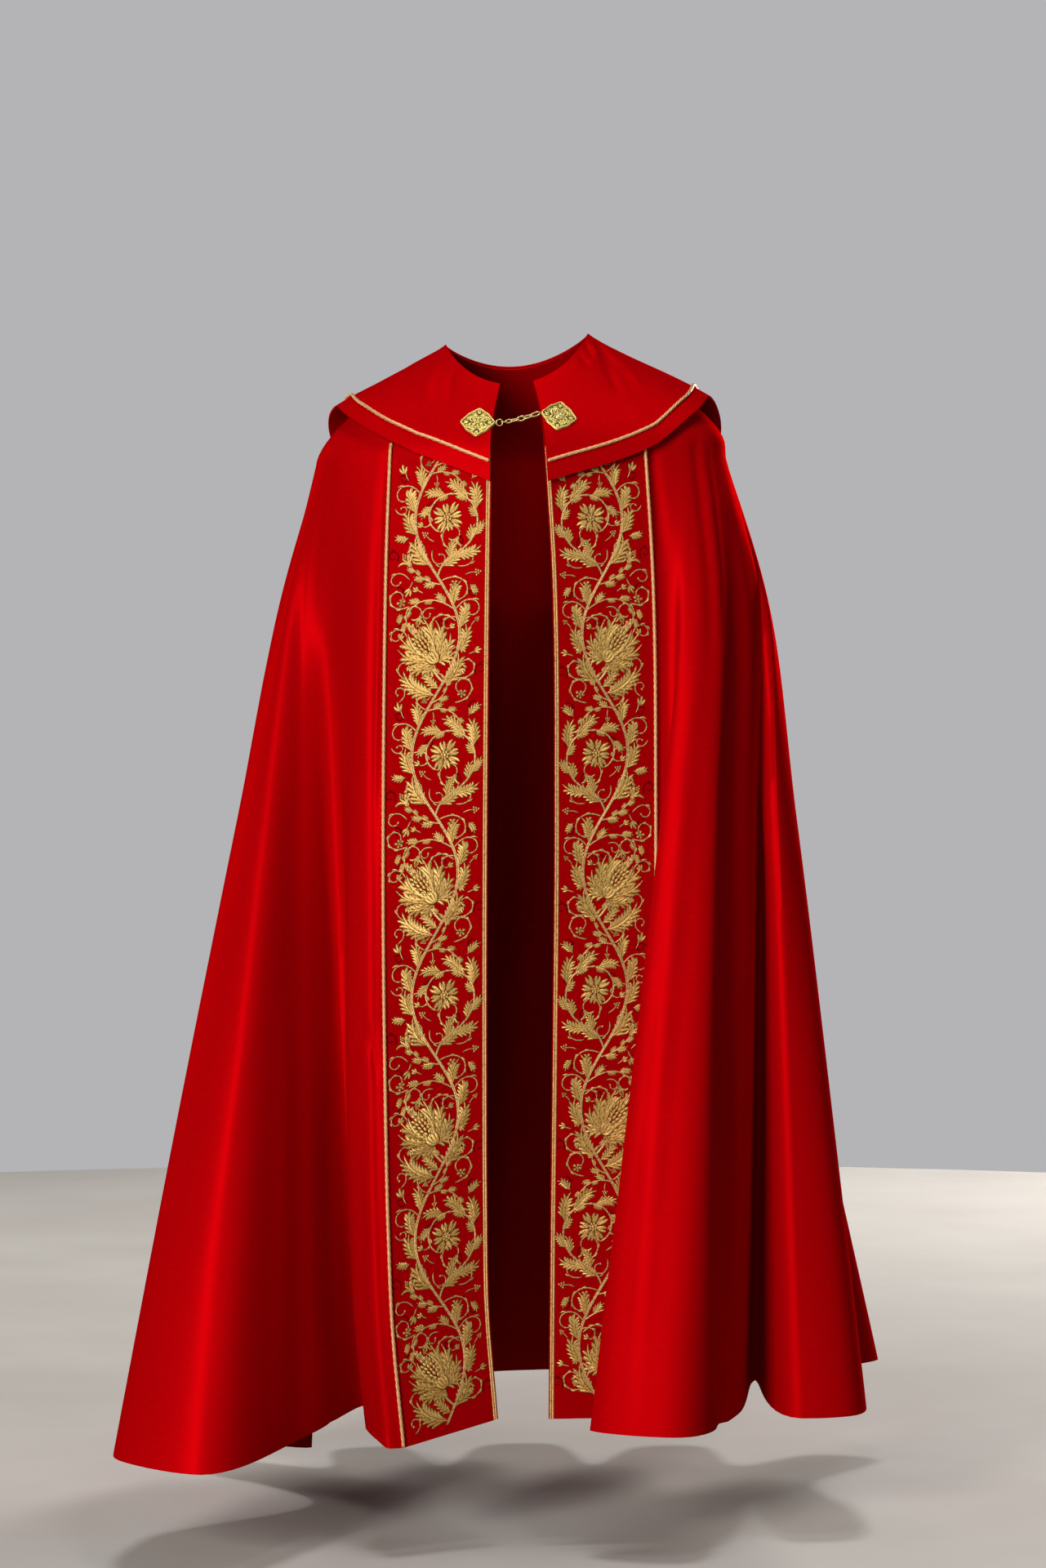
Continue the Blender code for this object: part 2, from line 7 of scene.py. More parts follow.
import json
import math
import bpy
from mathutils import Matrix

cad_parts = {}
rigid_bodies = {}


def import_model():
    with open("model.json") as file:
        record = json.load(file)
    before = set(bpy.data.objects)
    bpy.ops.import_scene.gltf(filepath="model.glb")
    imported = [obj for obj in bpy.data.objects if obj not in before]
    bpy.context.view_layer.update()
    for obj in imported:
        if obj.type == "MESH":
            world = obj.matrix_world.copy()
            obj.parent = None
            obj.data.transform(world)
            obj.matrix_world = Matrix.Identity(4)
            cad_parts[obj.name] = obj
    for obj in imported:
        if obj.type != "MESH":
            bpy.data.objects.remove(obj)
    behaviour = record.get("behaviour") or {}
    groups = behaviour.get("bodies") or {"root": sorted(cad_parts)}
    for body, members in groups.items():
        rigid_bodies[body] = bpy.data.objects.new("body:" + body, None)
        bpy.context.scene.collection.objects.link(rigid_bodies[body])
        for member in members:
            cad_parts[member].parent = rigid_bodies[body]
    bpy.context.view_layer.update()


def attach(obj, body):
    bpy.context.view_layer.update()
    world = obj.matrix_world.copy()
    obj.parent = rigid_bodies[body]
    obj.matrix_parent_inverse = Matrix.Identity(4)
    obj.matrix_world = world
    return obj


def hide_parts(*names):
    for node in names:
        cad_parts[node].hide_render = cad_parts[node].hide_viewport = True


bl_info = {
    "name": "Worn cope",
    "version": (1, 0, 0),
    "blender": (4, 5, 0),
    "location": "3D View > Sidebar > Cope",
    "description": "Dresses a red cope: cloth, embroidered bands, cords, collar and clasp",
    "category": "Object",
}

import bpy
import numpy as np
from bpy.props import FloatProperty, FloatVectorProperty, PointerProperty
from mathutils import Matrix, Vector

for left_over in list(bpy.data.objects):
    bpy.data.objects.remove(left_over, do_unlink=True)
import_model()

# cloth and seams
CLOTH = 0.0020
BAND_CLOTH = 0.0022
COLLAR_CLOTH = 0.0025
LAID_ON = 0.0003
BRAID_LIFT = 0.0006

# the two embroidered front bands and their trims
BAND_WIDTH = 0.130
CORD_RADIUS = 0.0023
CORD_TOP = 0.86
BRAID_WIDTH = 0.0055
BRAID_INSET = 0.0010
BRAID_THICK = 0.0011
BRAID_TOP = 0.99

# neck opening
NECK_HALF = 0.0885
NECK_FRONT = 0.110
NECK_BACK = 0.072
NECK_SIDE_Z = 0.012
NECK_TILT = 0.080
NECK_FRONT_DROP = 0.070
NECK_BACK_DROP = 0.026
NECK_EDGES = (-0.0200, 0.0205)

# the form that the shoulders hold out, before the folds begin
SHOULDER_Z = -0.138
SHOULDER_TILT = 0.050
SHOULDER_SLOPE = 0.55
SQUARENESS = 2.4
RING_EDGES = (-0.031, 0.034)
# height, half width on the wearer's right and left, depth in front and behind
SECTIONS = [
    (-1.40, 0.297, 0.325, 0.155, 0.175),
    (-0.60, 0.286, 0.318, 0.152, 0.170),
    (-0.30, 0.279, 0.307, 0.150, 0.165),
    (-0.138, 0.256, 0.268, 0.142, 0.150),
]

# front bands below the shoulder: share of the way down, place of the free edge, and how far the seam
# side of the band is turned forward, in degrees
RIGHT_BAND = [
    (0.000, -0.0310, -0.142, -12),
    (0.125, -0.0330, -0.150, -4),
    (0.375, -0.0355, -0.158, 4),
    (0.625, -0.0363, -0.164, 14),
    (0.790, -0.0356, -0.167, 20),
    (0.880, -0.0340, -0.168, 24),
    (1.000, -0.0229, -0.170, 27),
]
LEFT_BAND = [
    (0.000, 0.0340, -0.142, -14),
    (0.125, 0.0430, -0.150, -14),
    (0.375, 0.0465, -0.157, -13),
    (0.625, 0.0440, -0.163, -11),
    (0.790, 0.0417, -0.167, -10),
    (1.000, 0.0397, -0.170, -8),
]
RIGHT_HEM_Z = (-1.342, -1.367)
LEFT_HEM_Z = (-1.342, -1.343)

# the body's hem, from the right seam round the back to the left seam: a row for each crest, hollow or
# turn. Root is the share of the shoulder line that lies before the fold, and start is the share of the way
# down at which the fold begins.
HEM = [
    # name, x, y, z, root, start
    ("right seam", -0.1385, -0.2290, -1.367, 0.000, 0.00),
    ("beside right seam", -0.157, -0.236, -1.366, 0.012, 0.00),
    ("right turn", -0.174, -0.205, -1.360, 0.030, 0.00),
    ("right hollow", -0.190, -0.060, -1.345, 0.075, 0.00),
    ("right front slope", -0.254, -0.195, -1.356, 0.120, 0.00),
    ("right front crest", -0.372, -0.368, -1.372, 0.165, 0.00),
    ("right corner", -0.478, -0.300, -1.368, 0.205, 0.00),
    ("right side", -0.468, -0.130, -1.372, 0.250, 0.00),
    ("right rear hollow", -0.272, 0.110, -1.428, 0.305, 0.06),
    ("right rear slope", -0.345, 0.215, -1.425, 0.335, 0.10),
    ("right rear crest", -0.430, 0.310, -1.418, 0.360, 0.12),
    ("right rear turn", -0.385, 0.370, -1.412, 0.380, 0.12),
    ("back hollow 1", -0.265, 0.330, -1.404, 0.412, 0.13),
    ("back crest 1", -0.250, 0.465, -1.400, 0.442, 0.14),
    ("back turn 1", -0.180, 0.485, -1.398, 0.460, 0.14),
    ("back hollow 2", -0.100, 0.345, -1.396, 0.490, 0.15),
    ("back crest 2", -0.035, 0.500, -1.395, 0.520, 0.15),
    ("back turn 2", 0.040, 0.510, -1.393, 0.538, 0.15),
    ("back hollow 3", 0.105, 0.350, -1.388, 0.568, 0.15),
    ("back crest 3", 0.180, 0.485, -1.383, 0.598, 0.14),
    ("back turn 3", 0.255, 0.490, -1.378, 0.615, 0.14),
    ("back hollow 4", 0.305, 0.345, -1.368, 0.645, 0.13),
    ("left rear turn", 0.420, 0.425, -1.362, 0.672, 0.12),
    ("left rear crest", 0.494, 0.400, -1.360, 0.690, 0.12),
    ("left rear hollow", 0.400, 0.205, -1.350, 0.722, 0.08),
    ("left side", 0.441, 0.020, -1.345, 0.760, 0.03),
    ("left corner", 0.416, -0.135, -1.345, 0.795, 0.00),
    ("left front slope", 0.352, -0.150, -1.345, 0.820, 0.00),
    ("left hollow", 0.309, 0.050, -1.330, 0.850, 0.00),
    ("left roll back", 0.278, -0.120, -1.345, 0.880, 0.00),
    ("left roll crest", 0.200, -0.268, -1.347, 0.912, 0.00),
    ("left roll turn", 0.090, -0.230, -1.345, 0.945, 0.00),
    ("beside left seam", 0.186, -0.1495, -1.343, 0.985, 0.00),
    ("left seam", 0.1690, -0.1516, -1.343, 1.000, 0.00),
]
SEAM_FADE = 0.13

PANEL_SEAMS = ("right rear hollow", "back hollow 2", "left rear hollow")
PANELS = ("body_front_right", "body_back_right", "body_back_left", "body_front_left")

# shoulder collar: share of the shoulder line, height on the body under its edge, and how far the edge
# stands off the body
COLLAR = [
    (0.000, -0.181, 0.008),
    (0.102, -0.130, 0.010),
    (0.157, -0.103, 0.013),
    (0.215, -0.089, 0.021),
    (0.250, -0.098, 0.025),
    (0.300, -0.128, 0.019),
    (0.400, -0.235, 0.010),
    (0.500, -0.320, 0.009),
    (0.600, -0.235, 0.010),
    (0.700, -0.125, 0.016),
    (0.750, -0.084, 0.022),
    (0.785, -0.076, 0.019),
    (0.843, -0.098, 0.013),
    (0.898, -0.137, 0.010),
    (1.000, -0.181, 0.008),
]
COLLAR_NECK_LIFT = 0.0022
COLLAR_CORD_INSET = 0.025

# clasp plates: middle x and z, half width, half height, turn in degrees
RIGHT_PLATE = (-0.0490, -0.1070, 0.0230, 0.0200, -3)
LEFT_PLATE = (0.0525, -0.0980, 0.0232, 0.0208, -12)
PLATE_THICK = 0.0018
PLATE_RIM = 0.0011
PLATE_STANDOFF = 0.0004
PLATE_LOBES = 0.02
PLATE_POWER = 1.3
# rings of a plate from its back edge in: share of its size, height and shade, which is patina and painted
# shade in the sunk ring and field, and painted highlight on the rim
PLATE_PROFILE = [
    (0.985, 0.0, 0.7), (1.0, 0.0004, 0.8), (1.0, 0.0013, 0.9), (0.975, PLATE_THICK, 1.0),
    (0.90, PLATE_THICK, 0.8), (0.86, PLATE_THICK * 0.72, 0.12), (0.60, PLATE_THICK * 0.80, 0.12),
    (0.30, PLATE_THICK, 0.2), (0.02, PLATE_THICK, 0.2),
]
# the left plate's boss, a raised ring, a sunk ring and a domed grain: radius and height in millimetres,
# and shade, painted highlight on the raised parts and patina with painted shade in the sunk ring
BOSS_FOOT = PLATE_THICK - 0.0001
BOSS_PROFILE = [
    (radius, BOSS_FOOT + up / 1000, shade) for radius, up, shade in (
        (5.2, 0.0, 0.2), (5.3, 0.7, 0.8), (4.9, 1.25, 1), (4.4, 1.3, 1), (4.0, 0.85, 0.2), (3.5, 0.75, 0.1),
        (3.1, 1.2, 0.7), (2.7, 1.75, 1), (2.2, 1.8, 1), (1.9, 1.3, 0.3), (1.7, 1.2, 0.2), (1.4, 1.7, 0.8),
        (0.9, 2.1, 1), (0.05, 2.25, 1),
    )
]

# chain links from the right plate to the left one: half length, half width, wire radius and the link's
# turn about the chain's line, in degrees from upright
CHAIN = [
    ("jump_ring", 0.0044, 0.0044, 0.00060, 5),
    ("small_link_1", 0.0044, 0.0027, 0.00060, 95),
    ("small_link_2", 0.0044, 0.0027, 0.00060, 15),
    ("curb_link_1", 0.0062, 0.0038, 0.00085, 115),
    ("curb_link_2", 0.0062, 0.0038, 0.00085, 35),
    ("curb_link_3", 0.0062, 0.0038, 0.00085, 125),
    ("hook_link", 0.0074, 0.0034, 0.00085, 38),
]
CHAIN_SAG = 0.0020
LINK_SLACK = 0.0004
LINK_SQUARENESS = 0.8
WIRE_FULLNESS = 1.08
RIM_INSET = 0.93
RIM_BEAD = 0.0017
RIM_STEP = 0.0003
PLATE_COLUMNS = 120
BOSS_COLUMNS = 64
LINK_COLUMNS = 72
# share of the collar's run, from each front edge, on which a plate can lie, and the points tried
PLATE_SEARCH = 0.16
PLATE_TRIES = 81


def smooth(keys, values, at):
    """Values at the given keys, on a smooth curve through the table's own."""
    keys, values = np.asarray(keys, float), np.asarray(values, float)
    values = values.reshape(len(keys), -1)
    gaps = np.diff(keys)[:, None]
    slopes = np.diff(values, axis=0) / gaps
    tangents = np.empty_like(values)
    tangents[0], tangents[-1] = slopes[0], slopes[-1]
    tangents[1:-1] = (slopes[:-1] * gaps[1:] + slopes[1:] * gaps[:-1]) / (gaps[1:] + gaps[:-1])
    at = np.clip(at, keys[0], keys[-1])
    low = np.clip(np.searchsorted(keys, at, side="right") - 1, 0, len(keys) - 2)
    gap = np.diff(keys)[low][..., None]
    t = (at - keys[low])[..., None] / gap
    start = values[low] * (2 * t**3 - 3 * t**2 + 1) + tangents[low] * gap * (t**3 - 2 * t**2 + t)
    end = values[low + 1] * (3 * t**2 - 2 * t**3) + tangents[low + 1] * gap * (t**3 - t**2)
    return start + end


def columns_of(table, at):
    """A table's columns at places in its first one, on smooth curves."""
    return np.moveaxis(smooth([row[0] for row in table], [row[1:] for row in table], at), -1, 0)


def distances(line):
    """Distance of each point along its line."""
    return np.concatenate([[0], np.cumsum(np.linalg.norm(np.diff(line, axis=0), axis=1))])


def around_once(count):
    """Angles spaced evenly round a circle."""
    return np.linspace(0, 2 * math.pi, count, endpoint=False)


def unit(vectors):
    return vectors / np.maximum(np.linalg.norm(vectors, axis=-1, keepdims=True), 1e-12)


def sweep(half, edges, power):
    """Sines and cosines of the angles from one front edge round the back to the other."""
    first = -math.asin((abs(edges[0]) / half) ** (1 / power))
    last = math.asin((abs(edges[1]) / half) ** (1 / power))
    angle = np.linspace(first, last - 2 * math.pi, 721)
    return np.sin(angle), np.cos(angle)


def neck_line():
    s, c = sweep(NECK_HALF, NECK_EDGES, 1)
    front = np.clip(c, 0, 1)
    back = np.clip(-c, 0, 1)
    z = NECK_SIDE_Z + NECK_TILT * NECK_HALF * s - NECK_FRONT_DROP * front**1.4 - NECK_BACK_DROP * back**2
    return np.stack([NECK_HALF * s, NECK_BACK * back - NECK_FRONT * front, z], axis=1)


def shoulder_line():
    _, right, left, front, back = SECTIONS[-1]
    power = 2 / SQUARENESS
    s, c = sweep((right + left) / 2, RING_EDGES, power)
    x = np.sign(s) * np.abs(s) ** power * np.where(s < 0, right, left)
    y = np.abs(c) ** power * np.where(c > 0, -front, back)
    return np.stack([x, y, SHOULDER_Z + SHOULDER_TILT * x], axis=1)


NECK = neck_line()
NECK_RUN = distances(NECK[:, :2])
SHOULDER = shoulder_line()
SHOULDER_RUN = distances(SHOULDER[:, :2])
HEM_NAMES = [row[0] for row in HEM]
HEM_POINTS = np.array([row[1:4] for row in HEM])
HEM_RUN = distances(HEM_POINTS[:, :2])
HEM_ROOTS = [row[4] for row in HEM]
HEM_STARTS = [row[5] for row in HEM]
LAST_FOLD = len(HEM) - 1
BANDS = {-1: (RIGHT_BAND, RIGHT_HEM_Z), 1: (LEFT_BAND, LEFT_HEM_Z)}
SIDES = (("right", -1), ("left", 1))


def on_line(line, run, reach):
    """Points of a line at distances along it."""
    return np.stack([np.interp(reach, run, line[:, k]) for k in range(3)], axis=-1)


def at_folds(folds, column):
    """A column of the hem's table at places counted in folds."""
    return np.interp(folds, np.arange(LAST_FOLD + 1), column)


def between_seams(line, run, folds):
    """Points of the neck or shoulder line over places on the body, which lies between the two bands."""
    return on_line(line, run, BAND_WIDTH + (run[-1] - 2 * BAND_WIDTH) * at_folds(folds, HEM_ROOTS))


def band_skirt(side, across, down):
    """A front band below the shoulder line. Across is 0 at the free edge and 1 at the seam."""
    table, hem_z = BANDS[side]
    edge_x, edge_y, turn = columns_of(table, down)
    turn = np.radians(turn)
    x = edge_x + side * BAND_WIDTH * across * np.cos(turn)
    y = edge_y - BAND_WIDTH * across * np.sin(turn)
    top = SHOULDER_Z + SHOULDER_TILT * x
    low = hem_z[0] + (hem_z[1] - hem_z[0]) * across
    return np.stack([x, y, top + (low - top) * down], axis=-1)


def body_skirt(folds, down):
    """The body below the shoulder line: held-out form and hem, mixed by how far each fold has grown."""
    shoulder = between_seams(SHOULDER, SHOULDER_RUN, folds)
    hem = smooth(HEM_RUN, HEM_POINTS, at_folds(folds, HEM_RUN))
    z = shoulder[..., 2] + (hem[..., 2] - shoulder[..., 2]) * down
    right, left, front, back = columns_of(SECTIONS, z)
    _, right_0, left_0, front_0, back_0 = SECTIONS[-1]
    wide = np.where(shoulder[..., 0] < 0, right / right_0, left / left_0)
    deep = np.where(shoulder[..., 1] < 0, front / front_0, back / back_0)
    start = at_folds(folds, HEM_STARTS)
    grown = np.clip((down - start) / (1 - start), 0, 1)
    x = shoulder[..., 0] * wide * (1 - grown) + hem[..., 0] * grown
    y = shoulder[..., 1] * deep * (1 - grown) + hem[..., 1] * grown
    return np.stack([x, y, z], axis=-1)


def joined_skirt(folds, down):
    """The body's skirt, drawn over at both seams so that it meets the front bands."""
    points = body_skirt(folds, down)
    share = at_folds(folds, HEM_ROOTS)
    for away, fold, side in ((share, 0, -1), (1 - share, LAST_FOLD, 1)):
        offset = band_skirt(side, np.ones_like(down), down) - body_skirt(np.full_like(down, fold), down)
        hold = np.cos(np.clip(away / SEAM_FADE, 0, 1) * math.pi / 2) ** 2
        points = points + offset * hold[..., None]
    return points


def yoke(neck, shoulder, down):
    """From the neck line over the shoulders to the shoulder line."""
    angle = (down * math.pi / 2)[..., None]
    out = np.sin(angle)
    fall = SHOULDER_SLOPE * np.sin(angle) + (1 - SHOULDER_SLOPE) * (1 - np.cos(angle))
    plan = neck[..., :2] + (shoulder[..., :2] - neck[..., :2]) * out
    z = neck[..., 2:] + (shoulder[..., 2:] - neck[..., 2:]) * fall
    return np.concatenate([plan, z], axis=-1)


def body_at(folds, down):
    """The body's outer face. Down is 0 at the neck, 1 at the shoulder line and 2 at the hem."""
    folds, down = np.broadcast_arrays(np.asarray(folds, float), np.asarray(down, float))
    neck = between_seams(NECK, NECK_RUN, folds)
    over = yoke(neck, joined_skirt(folds, np.zeros_like(down)), np.clip(down, 0, 1))
    below = joined_skirt(folds, np.clip(down - 1, 0, 1))
    return np.where((down < 1)[..., None], over, below)


def band_at(side, across, down):
    """The outer face of the front band on one side, -1 for the wearer's right and 1 for the left."""
    across, down = np.broadcast_arrays(np.asarray(across, float), np.asarray(down, float))
    reach = BAND_WIDTH * across
    neck = on_line(NECK, NECK_RUN, reach if side < 0 else NECK_RUN[-1] - reach)
    over = yoke(neck, band_skirt(side, across, np.zeros_like(down)), np.clip(down, 0, 1))
    below = band_skirt(side, across, np.clip(down - 1, 0, 1))
    return np.where((down < 1)[..., None], over, below)


def around_at(share, down):
    """The whole garment's outer face, by share of the shoulder line from the right front edge."""
    share, down = np.broadcast_arrays(np.asarray(share, float), np.asarray(down, float))
    reach = share * SHOULDER_RUN[-1]
    right = band_at(-1, np.clip(reach / BAND_WIDTH, 0, 1), down)
    left = band_at(1, np.clip((SHOULDER_RUN[-1] - reach) / BAND_WIDTH, 0, 1), down)
    between = np.clip((reach - BAND_WIDTH) / (SHOULDER_RUN[-1] - 2 * BAND_WIDTH), 0, 1)
    middle = body_at(np.interp(between, HEM_ROOTS, np.arange(LAST_FOLD + 1)), down)
    on_right = (reach < BAND_WIDTH)[..., None]
    on_left = (reach > SHOULDER_RUN[-1] - BAND_WIDTH)[..., None]
    return np.where(on_right, right, np.where(on_left, left, middle))


def outward(grid):
    """Unit normals of a grid whose columns run round the garment and whose rows run down."""
    return unit(np.cross(np.gradient(grid, axis=1), np.gradient(grid, axis=0)))


# finer grids than the solids have
COLUMNS_PER_FOLD = 12
YOKE_FINE = 16
SKIRT_FINE = 84
BAND_FINE = 32
COLLAR_FINE = 352
COLLAR_FINE_ROWS = 30
EDGE_SHARP = 35
CREASE_POINTS = 90
CREASE_TAPER = 0.6
# the neck's radius on the flat cut, and how near a seam and the neck the creases fade out
CUT_NECK = 0.12
SEAM_CALM = 0.010
NECK_CALM = 0.5

# soft troughs and ridges of the body: fold and share down at both ends, bow of the line in
# folds, half width and rise in millimetres
BODY_CREASES = [
    # wearer's left front, which shows best
    (32.2, 0.96, 32.2, 1.12, 0.00, 8, -3.2),
    (32.0, 1.05, 32.4, 1.46, 0.00, 11, -4.5),
    (31.0, 0.98, 30.8, 1.75, 0.00, 16, 4.0),
    (30.5, 0.98, 30.3, 1.24, 0.05, 7, -3.4),
    (29.8, 1.00, 30.0, 1.20, 0.00, 6, -2.6),
    (29.45, 1.06, 29.3, 2.06, 0.10, 34, -26.0),
    (30.6, 1.08, 30.45, 2.04, 0.05, 11, 4.0),
    (28.3, 1.10, 28.0, 2.04, 0.00, 14, 9.0),
    (28.2, 1.06, 27.2, 1.45, 0.10, 16, 2.8),
    (31.5, 1.36, 31.2, 1.92, 0.20, 24, 2.4),
    (26.7, 1.15, 26.3, 1.80, 0.20, 24, 3.0),
    (25.4, 0.96, 25.3, 1.42, -0.25, 17, -3.2),
    # wearer's right front
    (0.6, 1.02, 0.6, 1.36, 0.00, 14, -5.0),
    (0.9, 1.40, 0.9, 1.585, 0.00, 7, 0.8),
    (0.6, 1.58, 0.7, 2.04, 0.00, 14, -4.0),
    (1.6, 1.580, 0.4, 1.625, 0.00, 4.5, -3.6),
    (2.1, 1.34, 2.3, 2.06, 0.00, 24, 9.0),
    (3.0, 1.18, 3.0, 1.60, 0.10, 16, -8.0),
    (3.5, 1.66, 3.6, 2.04, 0.10, 20, -6.0),
    (4.8, 1.60, 4.9, 2.02, 0.10, 15, -3.2),
    (4.3, 1.56, 4.3, 2.00, 0.00, 14, 2.6),
    (4.4, 0.98, 4.2, 1.36, 0.15, 15, 2.8),
    (3.3, 0.97, 3.6, 1.18, 0.10, 13, -2.8),
    (5.6, 1.20, 5.3, 1.86, -0.20, 28, 2.8),
    (6.7, 1.00, 6.5, 1.55, 0.25, 19, -3.4),
    # sides and back, in the same measures
    (7.6, 0.96, 7.7, 1.52, -0.20, 20, 5.1),
    (8.7, 1.10, 8.9, 1.66, 0.20, 18, -4.8),
    (10.4, 1.02, 10.2, 1.44, -0.15, 14, 4.2),
    (11.6, 1.22, 11.9, 1.90, 0.15, 22, -4.2),
    (13.2, 1.16, 13.0, 1.62, 0.15, 16, 4.8),
    (14.5, 1.30, 14.7, 1.94, -0.20, 20, -4.8),
    (16.4, 1.16, 16.2, 1.58, 0.15, 15, 4.2),
    (17.5, 1.20, 17.8, 1.84, -0.15, 21, -5.1),
    (19.3, 1.18, 19.2, 1.52, 0.15, 15, 4.5),
    (20.4, 1.34, 20.7, 1.96, 0.20, 20, 4.2),
    (21.8, 1.16, 21.6, 1.70, -0.15, 18, -4.5),
    (23.2, 1.04, 23.0, 1.50, 0.20, 17, 4.8),
    (24.3, 1.26, 24.5, 1.88, 0.15, 23, -4.5),
]
# the collar's: share of its run and share down at both ends, bow, half width and rise in millimetres
COLLAR_CREASES = [
    (0.918, 0.02, 0.927, 0.15, 0.000, 3.2, -2.0),
    (0.908, 0.03, 0.920, 0.22, 0.000, 3.5, 1.6),
    (0.943, 0.05, 0.935, 0.20, 0.000, 3.0, -1.8),
    (0.898, 0.10, 0.916, 0.50, 0.004, 7.0, -2.0),
    (0.882, 0.08, 0.878, 0.60, 0.002, 9.0, 1.2),
    (0.016, 0.12, 0.010, 0.36, 0.000, 3.0, -1.4),
    (0.060, 0.06, 0.048, 0.42, 0.000, 5.0, -1.6),
    (0.086, 0.10, 0.072, 0.55, 0.002, 7.0, 1.4),
    (0.150, 0.02, 0.175, 0.36, 0.006, 5.5, 1.5),
    (0.240, 0.20, 0.232, 0.96, 0.004, 11, 2.2),
    (0.286, 0.30, 0.292, 0.98, -0.004, 12, -2.2),
    (0.352, 0.24, 0.362, 0.92, 0.006, 12, 2.0),
    (0.430, 0.10, 0.440, 0.70, 0.004, 10, -1.6),
    (0.560, 0.12, 0.548, 0.74, -0.004, 10, 1.7),
    (0.642, 0.26, 0.630, 0.94, 0.006, 12, -2.0),
    (0.704, 0.30, 0.700, 0.98, 0.004, 11, 2.2),
    (0.762, 0.18, 0.770, 0.94, -0.004, 11, -2.0),
]
BAND_SWELL = 0.0008
CLOTH_SWELL = 0.0013
COLLAR_SWELL = 0.0006
BAND_CALM = 0.12
BAND_PROBE = 0.02

# embroidery, in millimetres on the band: middle of the worked field, one turn of the stem, its sway, and
# how many turns fill the band
FIELD_MIDDLE = 66.0
FIELD_TOP_Z = -0.150
FIELD_FOOT = 17.0
TURN = 146.0
SWAY = 29.0
TURNS = 8
STITCH_RISE = 0.75
# how far the rim of painted shade reaches past each stroke's edge, in millimetres
OUTLINE = 0.55
# fillers: half width of the field, spacing of the places tried, least room, and the most of them
FIELD_HALF = 58
FILLER_GRID = 3
FILLER_ROOM = 8.2
FILLERS_MOST = 90
# strokes lie higher by this much in turns of seven, so that no two that cross are level
STROKE_STEP = 0.012

# trims
CORD_STRANDS = 3
CORD_PITCH = 0.0090
CORD_STEP = 0.0011
CORD_SIDES = 14
CORD_GROOVE = 0.30
BRAID_STEP = 0.0011
BRAID_PLAIT = 0.0034
BRAID_COLUMNS = 13
TRIM_ROWS = 60

FLOOR_Z = -1.50
FLOOR_RADIUS = 4.2
FLOOR_POINTS = 96
CAMERA_PLACE = (0.0079, -4.5, -0.5565)
CAMERA_LENS = 80.36
SENSOR = 36.0
# name, place, the point it faces, width and height, watts, and colour
SOFTBOXES = [
    ("key_softbox", (-2.3, -4.5, 0.5), (0, 0, -0.75), (1.2, 2.0), 172, "#FFF8F0"),
    ("top_softbox", (1.9, -1.3, 2.7), (0.1, 0, -0.2), (1.2, 1.2), 5, "#FFFFFF"),
    ("clasp_softbox", (0.3, -1.0, 1.2), (0, -0.13, -0.1), (0.3, 0.3), 4.0, "#FFFFFF"),
    ("front_fill_softbox", (-0.4, -5.4, -0.5), (0, 0, -0.7), (1.5, 1.5), 16, "#FFFFFF"),
    ("rim_softbox", (2.6, 3.6, 0.6), (0, 0, -0.7), (1.0, 2.2), 30, "#FFF8F0"),
    ("far_rim_softbox", (-3.2, 2.8, 0.5), (0, 0, -0.7), (1.0, 2.2), 32, "#FFF8F0"),
    ("back_softbox", (2.6, 4.3, 0.8), (0, 0, -0.7), (1.4, 2.0), 118, "#FFF8F0"),
]
SUN_STRENGTH = 0.7
SUN_SPREAD = 12
SKY_STRENGTH = 0.03


def linear(code):
    """The linear colour of an sRGB hex value."""
    parts = [int(code[k:k + 2], 16) / 255 for k in (1, 3, 5)]
    return tuple(c / 12.92 if c <= 0.04045 else ((c + 0.055) / 1.055) ** 2.4 for c in parts)


def colour_setting(name, description, code):
    return FloatVectorProperty(
        name=name, description=description, subtype="COLOR", size=3, min=0, max=1, default=linear(code))


class CopeSettings(bpy.types.PropertyGroup):
    """Sizes and colours that a user would change."""

    cloth_colour: colour_setting("Cloth", "Red of the wool satin", "#CB0109")
    band_colour: colour_setting("Band cloth", "Red of the embroidered bands", "#B90108")
    thread_colour: colour_setting("Gold thread", "Lit face of the embroidery", "#FFE08A")
    cord_colour: colour_setting("Cord", "Pale gold of the cords", "#FFCB90")
    metal_colour: colour_setting("Gilt", "Gold of the clasp", "#FFEA88")
    crease_share: FloatProperty(
        name="Creases", description="Depth of the soft creases against the worn garment's", default=1.0,
        min=0.0, max=1.5, subtype="FACTOR")
    stitch_rise: FloatProperty(
        name="Stitch rise", description="Height of the embroidery off the band", default=STITCH_RISE / 1000,
        min=0.0002, max=0.0015, unit="LENGTH")
    light_share: FloatProperty(
        name="Light", description="Strength of the studio lights", default=1.0, min=0.1, max=3.0,
        subtype="FACTOR")


def settings():
    return bpy.context.scene.cope


def rgba(colour):
    """An opaque colour from a setting or an sRGB hex value."""
    return (*(linear(colour) if isinstance(colour, str) else colour), 1)


def add_node(tree, kind, inputs=None, **options):
    """A node with its settings, its socket values and its links."""
    node = tree.nodes.new("ShaderNode" + kind)
    for name, value in options.items():
        setattr(node, name, value)
    for socket, value in (inputs or {}).items():
        if isinstance(value, bpy.types.NodeSocket):
            tree.links.new(value, node.inputs[socket])
        else:
            node.inputs[socket].default_value = value
    return node


def noise(tree, at, scale, detail, roughness=0.5):
    inputs = {"Vector": at, "Scale": scale, "Detail": detail, "Roughness": roughness}
    return add_node(tree, "TexNoise", inputs).outputs["Fac"]


def waves(tree, at, spacing_mm, direction="X", **inputs):
    """Even threads this far apart."""
    inputs = {name.replace("_", " "): value for name, value in inputs.items()}
    inputs.update(Vector=at, Scale=math.pi / 10 / (spacing_mm / 1000))
    return add_node(tree, "TexWave", inputs, bands_direction=direction).outputs["Fac"]


def mapped(tree, at, **values):
    return add_node(tree, "Mapping", {"Vector": at, **values}).outputs["Vector"]


